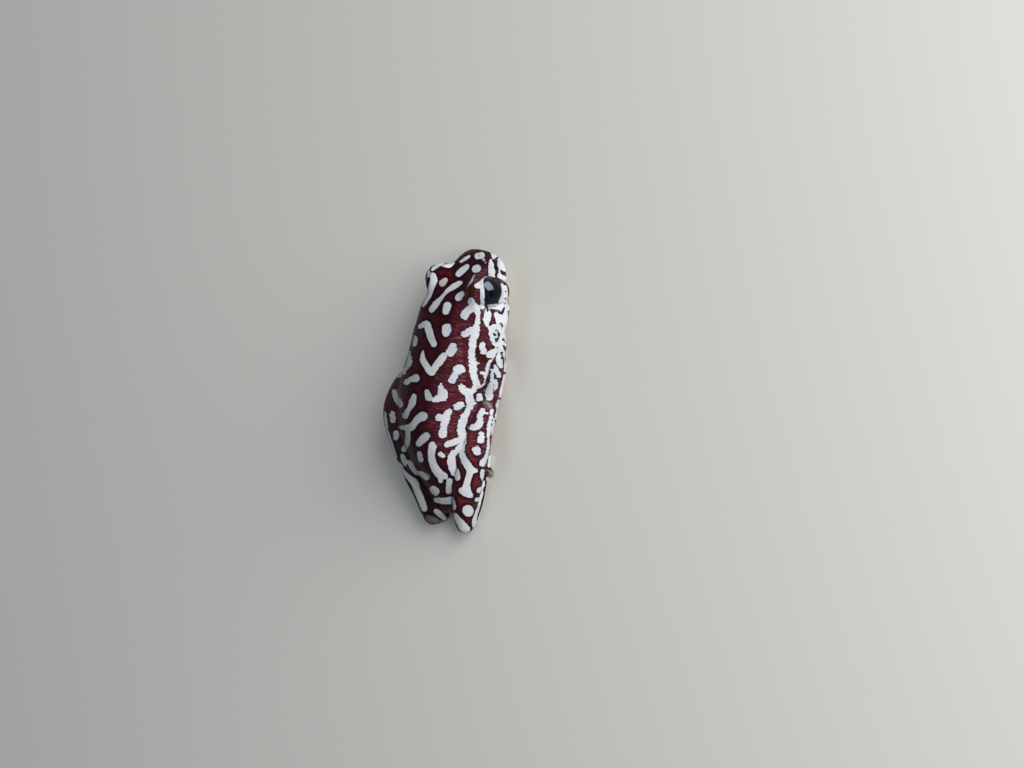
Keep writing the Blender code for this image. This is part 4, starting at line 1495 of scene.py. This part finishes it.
@dataclass
class Skin:
    """One skin over all the flesh.

    A band runs from where something sets in to where it is full, so its first number may be the
    larger one.
    """

    view: PhotoView
    step: float = 0.2
    coarser: float = 1.5
    margin: float = 1.0
    bridge: float = 0.2
    head_rounding: float = 0.24
    torso_rounding: float = 0.5
    neck_inset: float = 0.4
    neck_blend: float = 1.0
    regions: tuple[Region, ...] = (
        Region(("thigh_left", "shank_left"), 0.45, 0.8, 2.4),
        Region(("thigh_right", "shank_right"), 0.45, 0.5, 1.4),
        Region(("upper_arm_left", "forearm_left"), 0.3, 0.6, 1.2),
        Region(("upper_arm_right", "forearm_right"), 0.3, 0.6, 1.2),
        Region(("tarsus_left", "tarsus_right"), 0.25, 0.5, 0.9),
        Region(("hand_left", "hand_right", "foot_left", "foot_right"), 0.14, 0.2, 0.25),
    )
    pads: tuple[Pad, ...] = (
        Pad((0.5, 0.9, 0.285), (0.7, 1.01, 0.18), 1.25, 1.4),
        Pad((0.89, 0.34, 0.7), (0.85, 0.58, 0.67), 1.0, 2.2),
        Pad((0.85, 0.58, 0.67), (0.73, 0.72, 0.57), 1.0, 2.2),
        Pad((0.73, 0.72, 0.57), (0.62, 0.82, 0.43), 1.1, 2.0),
    )
    evening: float = 0.5
    fitting_rounds: int = 4
    least_steepness: float = 0.1
    snout_reach: Band = (2.0, 0.3)
    snout_rounds: int = 24
    lid_thickness: float = 0.12
    lid_bed: float = 0.15
    lid_blend: float = 2.0
    lid_softness: float = 0.15
    lid_lean: Band = (-0.1, 0.3)
    lid_outward: Band = (0.05, 0.6)
    lid_least: float = 1e-3
    lid_flare: float = 0.8
    lid_hold: float = 2.0
    lid_hollow: tuple[Band, Band] = ((0.22, 0.5), (2.2, 1.5))
    lid_rounds: int = 14
    lid_evening: float = 0.6
    lid_edge: float = 0.13
    lid_gap: float = 0.02
    lid_lap: float = 0.03
    lid_slope: float = 2.2
    lid_rim: float = 1.0
    lid_height: float = 1.6
    lid_skirt: tuple[Band, Band] = ((0.14, 0.4), (1.9, 1.2))
    socket_depth: float = 0.3
    mouth: Mouth = Mouth()
    nostril: tuple[Ridge, ...] = (Ridge(0.1, 0.36), Ridge(-0.42, 0.15))
    nostril_pixel: Band = (484.4, 260.4)
    undulation: Undulation = Undulation()
    groove: Ridge = Ridge(-0.12, 0.24)
    fine_margin: float = 0.9
    fine_lids: Band = (0.6, 0.22)
    fine_nostrils: Band = (0.7, 0.45)
    fine_lips: float = 0.45
    fine_pixel: Band = (494.0, 350.0)
    fine_half: Band = (14.0, 50.0)
    mark_reach: float = 2.0
    tint: float = 0.9
    tie: float = 0.01
    dusk_edge: Band = (0.25, -0.2)
    far_facing: Band = (0.3, 0.0)
    corners: np.ndarray | None = None
    faces: np.ndarray | None = None

    def flesh(self) -> list[str]:
        """Return the names of every solid that the skin replaces."""
        return ["head", "torso"] + [name for region in self.regions for name in region.solids]

    def trunk(self, grid: DistanceGrid) -> np.ndarray:
        """Join head and torso without a seam, from one cross-section to the next over the gap."""
        values = np.full(grid.shape, grid.FAR)
        for name in ("head", "torso"):
            window = grid.window(name)
            values[window] = np.minimum(values[window], grid.solid(name, window))
        ahead = node_box("head")[1][1] - self.neck_inset
        behind = node_box("torso")[0][1] + self.neck_inset
        start, end = (int(round((place - grid.low[1]) / grid.step)) for place in (ahead, behind))
        for row in range(start + 1, end):
            share = (row - start) / (end - start)
            values[:, row] = (1 - share) * values[:, start] + share * values[:, end]
        share = smooth_step(grid.places()[1], ahead - self.neck_blend, behind + self.neck_blend)
        head, torso = (grid.smoothed(values, width) for width in (self.head_rounding, self.torso_rounding))
        return (1 - share) * head + share * torso

    def grid(self) -> DistanceGrid:
        """Fill a grid with the joined flesh, its eye sockets covered."""
        boxes = [node_box(name) for name in self.flesh()]
        low = np.min([box[0] for box in boxes], axis=0) - self.margin
        high = np.max([box[1] for box in boxes], axis=0) + self.margin
        grid = DistanceGrid(low, high, self.step * (1.0))
        grid.values = self.trunk(grid) - self.bridge
        for region in self.regions:
            joined = np.full(grid.shape, grid.FAR)
            for name in region.solids:
                window = grid.window(name)
                distance = grid.smoothed(grid.solid(name, window), region.rounding) - self.bridge
                joined[window] = fillet(joined[window], distance, region.fold, grid.step)
            grid.values = fillet(grid.values, joined, region.blend, grid.step)
        grid.values += self.bridge
        xs, ys, zs = grid.places()
        for pad in self.pads:
            grid.values = fillet(grid.values, pad.distance(xs, ys, zs), pad.blend, grid.step)
        for eye in map(EyeBall, SIDES):
            x, y, z = eye.centre()
            ball = np.sqrt((xs - x) ** 2 + (ys - y) ** 2 + (zs - z) ** 2)
            ball -= eye.radius() + self.lid_thickness + self.lid_bed
            grid.values = fillet(grid.values, ball, self.lid_blend, grid.step)
        grid.values = np.maximum(grid.values, -zs)
        return grid

    def wrap(self) -> None:
        """Wrap the flesh, even out the mesh and keep its one outer surface."""
        grid = self.grid()
        self.corners, self.faces = largest_part(*grid.surface())
        slopes = np.gradient(grid.values, grid.step)
        neighbours = Neighbours(self.faces, len(self.corners))
        for _ in range(self.fitting_rounds):
            self.corners += neighbours.pull(self.corners, self.evening)
            slope = np.stack([grid.read(part, self.corners) for part in slopes], axis=1)
            steepness = np.maximum((slope ** 2).sum(axis=1), self.least_steepness)
            self.corners -= (grid.read(grid.values, self.corners) / steepness)[:, None] * slope
        blunt = smooth_step(self.corners[:, 1] - node_box("head")[0][1], *self.snout_reach)
        for _ in range(self.snout_rounds):
            self.corners += neighbours.pull(self.corners, self.evening * blunt)

    def refine(self, near: np.ndarray) -> None:
        """Halve the mesh where the corners are flagged.

        Args:
            near: True at the corners to refine round.
        """
        shell = bmesh.new()
        mesh = plain_mesh("refining", self.corners, self.faces.tolist())
        shell.from_mesh(mesh)
        shell.verts.ensure_lookup_table()
        edges = [e for e in shell.edges if near[e.verts[0].index] and near[e.verts[1].index]]
        bmesh.ops.subdivide_edges(shell, edges=edges, cuts=1, use_grid_fill=True)
        bmesh.ops.triangulate(shell, faces=[f for f in shell.faces if len(f.verts) != 3])
        shell.to_mesh(mesh)
        shell.free()
        self.corners = read_rows(mesh.vertices, "co")
        self.faces = np.array([tuple(p.vertices) for p in mesh.polygons])
        bpy.data.meshes.remove(mesh)

    def normals(self) -> np.ndarray:
        """Return the outward direction at each corner."""
        mesh = plain_mesh("normals", self.corners, self.faces.tolist())
        out = read_rows(mesh.vertices, "normal")
        bpy.data.meshes.remove(mesh)
        return out

    def surface_tree(self) -> BVHTree:
        """Return the skin as it is, for finding places on it."""
        return BVHTree.FromPolygons(self.corners.tolist(), self.faces.tolist())

    def tighten_lids(self) -> None:
        """Draw the skin tight over the outer side of each eyeball."""
        for eye in map(EyeBall, SIDES):
            distance, direction = eye.polar(self.corners)
            outer = unit(np.array((eye.outward(), *self.lid_lean)))
            share = np.maximum(smooth_step(direction @ outer, *self.lid_outward), self.lid_least)
            limit = eye.radius() + self.lid_thickness + self.lid_flare * (1 / share - 1)
            excess = (distance - limit) / self.lid_softness
            drawn = distance - self.lid_softness * np.logaddexp(0, excess)
            tight = np.where(distance < eye.radius() + self.lid_hold, drawn, distance)
            self.corners = eye.centre() + direction * tight[:, None]
        neighbours = Neighbours(self.faces, len(self.corners))
        for _ in range(self.lid_rounds):
            for eye in map(EyeBall, SIDES):
                height = eye.polar(self.corners)[0] - eye.radius()
                loose = eased(*((height, band) for band in self.lid_hollow))
                self.corners += neighbours.pull(self.corners, self.lid_evening * loose)

    def open_eyes(self) -> None:
        """Press the skin in behind each eyeball inside its lid opening, and roll the lid's margin."""
        for eye in map(EyeBall, SIDES):
            distance, direction = eye.polar(self.corners)
            beyond = eye.beyond(direction) * min(eye.opening_long, eye.opening_tall)
            rolled = self.lid_edge * np.sqrt(np.clip(beyond / self.lid_edge, 0, 1))
            slope = self.lid_slope * np.maximum(beyond - 2 * self.lid_edge, 0)
            lid = eye.radius() + self.lid_gap + rolled + slope
            bed = eye.radius() - self.socket_depth
            sunk = np.where(beyond < -self.lid_lap, bed, np.minimum(distance, lid))
            near = (distance < eye.radius() + self.lid_height) & (beyond < self.lid_rim)
            self.corners = eye.centre() + direction * np.where(near, sunk, distance)[:, None]
            across, above = self.lid_skirt
            loose = eased((beyond, across), (distance - eye.radius(), above))
            neighbours = Neighbours(self.faces, len(self.corners))
            for _ in range(self.lid_rounds):
                self.corners += neighbours.pull(self.corners, self.evening * loose)

    def nostrils(self) -> list[np.ndarray]:
        """Return the two nostrils' places on the skin."""
        tree = self.surface_tree()
        sight = Vector(self.view.sight(*self.nostril_pixel))
        right = np.array(tree.ray_cast(Vector(self.view.place()), sight)[0])
        left = (2 * midline(right[1]) - right[0], *right[1:])
        return [right, np.array(tree.find_nearest(left)[0])]

    def refine_features(self) -> None:
        """Refine the mesh where lids, lips, nostrils and digits need finer corners."""
        for eye, width in product(map(EyeBall, SIDES), self.fine_lids):
            distance, direction = eye.polar(self.corners)
            near = distance < eye.radius() + self.fine_margin
            self.refine(near & (np.abs(eye.beyond(direction)) < width))
        for spot, reach in product(self.nostrils(), self.fine_nostrils):
            self.refine(np.linalg.norm(self.corners - spot, axis=1) < reach)
        height, drawn = self.mouth.measure(self.corners)
        self.refine((np.abs(height) < self.fine_lips) & (drawn > 0))
        place = self.view.project(self.corners)
        fine = (np.abs(place[:, :2] - self.fine_pixel) < self.fine_half).all(axis=1)
        self.refine(fine & (self.normals() @ self.view.axes()[2] > 0))

    def carve(self) -> None:
        """Carve the mouth, lips and nostrils, and let the skin undulate."""
        shift = self.mouth.shift(self.corners) + self.undulation.shift(self.corners)
        for spot, ridge in product(self.nostrils(), self.nostril):
            shift += ridge.rise(np.linalg.norm(self.corners - spot, axis=1))
        self.corners += self.normals() * shift[:, None]

    def build(self, finish: SkinFinish) -> bpy.types.Object:
        """Build the skin.

        Args:
            finish: Its finish.

        Returns:
            The skin, riding on the body in place of the solids of flesh.
        """
        self.wrap()
        log.info("skin wrapped: %d corners", len(self.corners))
        self.tighten_lids()
        self.refine_features()
        self.carve()
        self.open_eyes()
        piece = make_object("skin", self.corners, self.faces.tolist())
        depth = self.groove.rise(np.maximum(self.dress(piece), 0))
        self.corners += self.normals() * depth[:, None]
        piece.data.vertices.foreach_set("co", (self.corners * MM).ravel())
        piece.data.update()
        piece.data.materials.append(finish.material())
        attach(piece, BODY)
        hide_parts(*self.flesh())
        return piece

    def dress(self, piece: bpy.types.Object) -> np.ndarray:
        """Store the markings, the strokes of painted shade and the washes of colour at the skin's corners.

        Args:
            piece: The skin.

        Returns:
            Each corner's distance from the nearest fold in millimetres.
        """
        normals = self.normals()
        place = self.view.project(self.corners)
        tree = self.surface_tree()
        paint = {tone: np.full(len(place), FAR_AWAY) for tone in Tone}
        for mark in PATTERN:
            chain = self.on_skin(mark.beads(), tree)
            paint[mark.tone] = np.minimum(paint[mark.tone], chain.distance(place))
        paint = {tone: values * self.view.pixel for tone, values in paint.items()}
        pale = np.min([paint[tone] for tone in (Tone.PALE, Tone.ASHEN, Tone.BLUSH)], axis=0)
        # The greyed marks are painted shade; the pink ones are the frog's own tint.
        ashen, blush = (
            (paint[tone] <= pale + self.tie) * self.tint for tone in (Tone.ASHEN, Tone.BLUSH)
        )
        mark = self.far_side(np.maximum(pale, -paint[Tone.DARK]), normals @ self.view.axes()[2])
        # The fold lines and the lid margins take painted shade.
        fold = np.minimum(paint[Tone.FOLD], self.lid_margin())
        mark, earthen, fold = (
            np.clip(values, -self.mark_reach, self.mark_reach) for values in (mark, paint[Tone.EARTHEN], fold)
        )
        carry(piece, mark=mark, ashen=ashen, blush=blush, earthen=earthen, fold=fold)
        # The dusky strokes become a wash of painted shade in recesses.
        Washes().store(piece, self.corners, normals[:, 2], smooth_step(paint[Tone.DUSKY], *self.dusk_edge))
        return paint[Tone.FOLD]

    def lid_margin(self) -> np.ndarray:
        """Measure how far outside a lid opening each corner lies, in millimetres."""
        nearest = np.full(len(self.corners), FAR_AWAY)
        for eye in map(EyeBall, SIDES):
            distance, direction = eye.polar(self.corners)
            beyond = np.minimum(nearest, eye.beyond(direction) * eye.opening_tall)
            nearest = np.where(distance < eye.radius() + self.fine_margin, beyond, nearest)
        return nearest

    def on_skin(self, beads: np.ndarray, tree: BVHTree) -> Chain:
        """Lay a stroke's beads on the skin.

        Args:
            beads: Rows of x, y and width in pixels.
            tree: The skin.

        Returns:
            The chain of beads, with the skin's directions under them as the camera sees them.
        """
        camera = self.view.place()
        places, slopes = [], []
        for x, y, _ in beads:
            sight = self.view.sight(x, y)
            hit, slope = tree.ray_cast(Vector(camera), Vector(sight))[:2]
            if hit is None:
                beside = camera + sight * (self.view.distance - self.view.eye_nearer)
                hit, slope = tree.find_nearest(Vector(beside))[:2]
            places.append((x, y, self.view.project(np.array([hit]))[0, 2]))
            slopes.append(self.view.turn() @ np.array(slope) * (1, -1, -1))
        return Chain(np.array(places), beads[:, 2] / 2, np.array(slopes))

    def far_side(self, mark: np.ndarray, facing: np.ndarray) -> np.ndarray:
        """Give the side turned away from the camera the other side's markings, mirrored.

        Args:
            mark: Distances to the markings that the camera sees.
            facing: 1 where the skin faces the camera and less than 0 where it faces away.

        Returns:
            Distances for the whole skin.
        """
        middle = midline(self.corners[:, 1])
        tree = KDTree(len(self.corners))
        for index, corner in enumerate(self.corners.tolist()):
            tree.insert(corner, index)
        tree.balance()
        hidden = (facing < self.far_facing[0]) & (self.corners[:, 0] > middle)
        mirrored = self.corners.copy()
        mirrored[:, 0] = 2 * middle - mirrored[:, 0]
        other = mark.copy()
        for index in np.flatnonzero(hidden):
            other[index] = mark[tree.find(mirrored[index])[1]]
        share = smooth_step(facing, *self.far_facing) * hidden
        return mark * (1 - share) + other * share


@dataclass(frozen=True)
class Granules:
    """Low round granules, scattered by a node tree where the skin is marked as granular."""

    spacing: float = 0.3
    density: float = 14.0
    radius: float = 0.085
    flatness: float = 0.5
    seed: int = 11

    def tree(self) -> bpy.types.NodeTree:
        """Build the node tree that scatters them."""
        tree = bpy.data.node_groups.new("granules", "GeometryNodeTree")
        sockets = {
            "Skin": "Geometry", "Spacing": "Float", "Density": "Float", "Radius": "Float",
            "Scale": "Vector", "Seed": "Int", "Finish": "Material",
        }
        for name, kind in sockets.items():
            tree.interface.new_socket(name, in_out="INPUT", socket_type=f"NodeSocket{kind}")
        tree.interface.new_socket("Granules", in_out="OUTPUT", socket_type="NodeSocketGeometry")
        kinds = (
            "InputNamedAttribute", "DistributePointsOnFaces", "MeshIcoSphere", "InstanceOnPoints",
            "RealizeInstances", "SetShadeSmooth", "SetMaterial",
        )
        share, scatter, grain, place, real, smooth, finish = (
            tree.nodes.new(f"GeometryNode{kind}") for kind in kinds
        )
        given, result = (tree.nodes.new(kind) for kind in ("NodeGroupInput", "NodeGroupOutput"))
        share.data_type = "FLOAT"
        share.inputs["Name"].default_value = "granular"
        scatter.distribute_method = "POISSON"
        grain.inputs["Subdivisions"].default_value = 2
        wires = (
            (given, "Skin", scatter, "Mesh"), (given, "Spacing", scatter, "Distance Min"),
            (given, "Density", scatter, "Density Max"), (given, "Seed", scatter, "Seed"),
            (share, "Attribute", scatter, "Density Factor"), (given, "Radius", grain, "Radius"),
            (scatter, "Points", place, "Points"), (grain, "Mesh", place, "Instance"),
            (scatter, "Rotation", place, "Rotation"), (given, "Scale", place, "Scale"),
            (place, "Instances", real, "Geometry"), (real, "Geometry", smooth, "Geometry"),
            (smooth, "Geometry", finish, "Geometry"), (given, "Finish", finish, "Material"),
            (finish, "Geometry", result, "Granules"),
        )
        for source, output, target, entry in wires:
            tree.links.new(source.outputs[output], target.inputs[entry])
        return tree

    def build(self, skin: bpy.types.Object) -> bpy.types.Object:
        """Scatter the granules over the skin.

        Args:
            skin: The finished skin, whose attributes and finish they share.

        Returns:
            The granules as one plain mesh.
        """
        tree = self.tree()
        source = skin.copy()
        bpy.context.scene.collection.objects.link(source)
        scatter = source.modifiers.new("granules", "NODES")
        scatter.node_group = tree
        values = {
            "Spacing": self.spacing * MM, "Density": self.density / MM ** 2, "Radius": self.radius * MM,
            "Scale": (1.0, 1.0, self.flatness), "Seed": self.seed, "Finish": skin.data.materials[0],
        }
        for item in tree.interface.items_tree:
            if item.name in values:
                scatter[item.identifier] = values[item.name]
        bpy.context.view_layer.update()
        ready = source.evaluated_get(bpy.context.evaluated_depsgraph_get())
        mesh = bpy.data.meshes.new_from_object(ready)
        source.modifiers.remove(scatter)
        bpy.data.objects.remove(source)
        piece = bpy.data.objects.new("granules", mesh)
        bpy.context.scene.collection.objects.link(piece)
        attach(piece, BODY)
        return piece


# The studio


@dataclass(frozen=True)
class Lamp:
    """One square soft light, aimed at the frog."""

    name: str
    direction: np.ndarray
    size: float
    power: float
    colour: Point
    distance: float = 420.0
    aim_height: float = 4.0

    def hang(self) -> bpy.types.Object:
        """Hang the light, and return it."""
        data = bpy.data.lights.new(self.name, "AREA")
        data.shape = "SQUARE"
        data.size = self.size * MM
        data.energy = self.power
        data.color = self.colour
        lamp = bpy.data.objects.new(self.name, data)
        aim = Vector(unit(self.direction))
        lamp.location = Vector(UP * self.aim_height * MM) + aim * self.distance * MM
        lamp.rotation_mode = "QUATERNION"
        lamp.rotation_quaternion = aim.to_track_quat("Z", "Y")
        bpy.context.scene.collection.objects.link(lamp)
        return lamp


@dataclass(frozen=True)
class Studio:
    """A pale floor under soft light from the picture's right and a dimmer all-round fill.

    Each light comes from a direction that is given along the picture's right, its up and the way
    back to the camera, apart from the overhead one, which stands in the frog's own frame.
    """

    view: PhotoView
    floor_size: float = 3000.0
    key_from: Point = (0.75, 0.35, 1.0)
    key_raised: float = 0.35
    key_size: float = 300.0
    key_power: float = 2.5
    key_colour: Point = (1.0, 0.98, 0.95)
    overhead_from: Point = (0.2, 0.1, 1.0)
    overhead_size: float = 420.0
    overhead_power: float = 0.12
    overhead_colour: Point = (0.92, 0.96, 1.0)
    window_from: Point = (0.2, 0.8, 0.56)
    window_size: float = 640.0
    window_power: float = 24.0
    window_colour: Point = (0.66, 0.78, 1.0)
    sky: float = 0.19
    sky_colour: Colour = (0.93, 0.96, 1.0, 1.0)

    def lay_floor(self) -> None:
        """Lay the floor."""
        half = self.floor_size / 2
        corners = np.array(((-half, -half, 0), (half, -half, 0), (half, half, 0), (-half, half, 0)), float)
        floor = make_object("floor", corners, [(0, 1, 2, 3)])
        floor.data.materials.append(FloorFinish().material())

    def hang_lights(self, eyes: list[bpy.types.Object]) -> None:
        """Hang the lights.

        Args:
            eyes: The eyes, in which alone the window shows.
        """
        turn = self.view.turn()
        key_from = np.array(self.key_from) @ turn + UP * self.key_raised
        key = Lamp("key", key_from, self.key_size, self.key_power, self.key_colour).hang()
        key.visible_glossy = False
        overhead_from = np.array(self.overhead_from)
        Lamp("overhead", overhead_from, self.overhead_size, self.overhead_power, self.overhead_colour).hang()
        window_from = np.array(self.window_from) @ turn
        window = Lamp("catch", window_from, self.window_size, self.window_power, self.window_colour).hang()
        window.visible_diffuse = False
        only = bpy.data.collections.new("caught_by_eyes")
        for eye in eyes:
            only.objects.link(eye)
        window.light_linking.receiver_collection = only

    def build(self, eyes: list[bpy.types.Object]) -> None:
        """Lay the floor, hang the lights and set the sky.

        Args:
            eyes: The eyes, in which alone the window shows.
        """
        self.lay_floor()
        self.hang_lights(eyes)
        world = bpy.data.worlds.new("studio_air")
        world.use_nodes = True
        air = world.node_tree.nodes["Background"]
        air.inputs["Color"].default_value = self.sky_colour
        air.inputs["Strength"].default_value = self.sky
        bpy.context.scene.world = world
        bpy.context.scene.view_settings.view_transform = "Standard"


def report(piece: bpy.types.Object) -> None:
    """Log a finished piece."""
    log.info("%s: %d faces", piece.name, len(piece.data.polygons))


def main() -> None:
    """Dress the frog and its studio."""
    logging.basicConfig(level=logging.INFO, format="%(message)s")
    view = PhotoView()
    view.make()
    eyes = [EyeBall(side).build(EyeFinish()) for side in SIDES]
    for eye in eyes:
        report(eye)
    Studio(view).build(eyes)
    skin = Skin(view).build(SkinFinish())
    report(skin)
    report(Granules().build(skin))


if __name__ == "__main__":
    main()
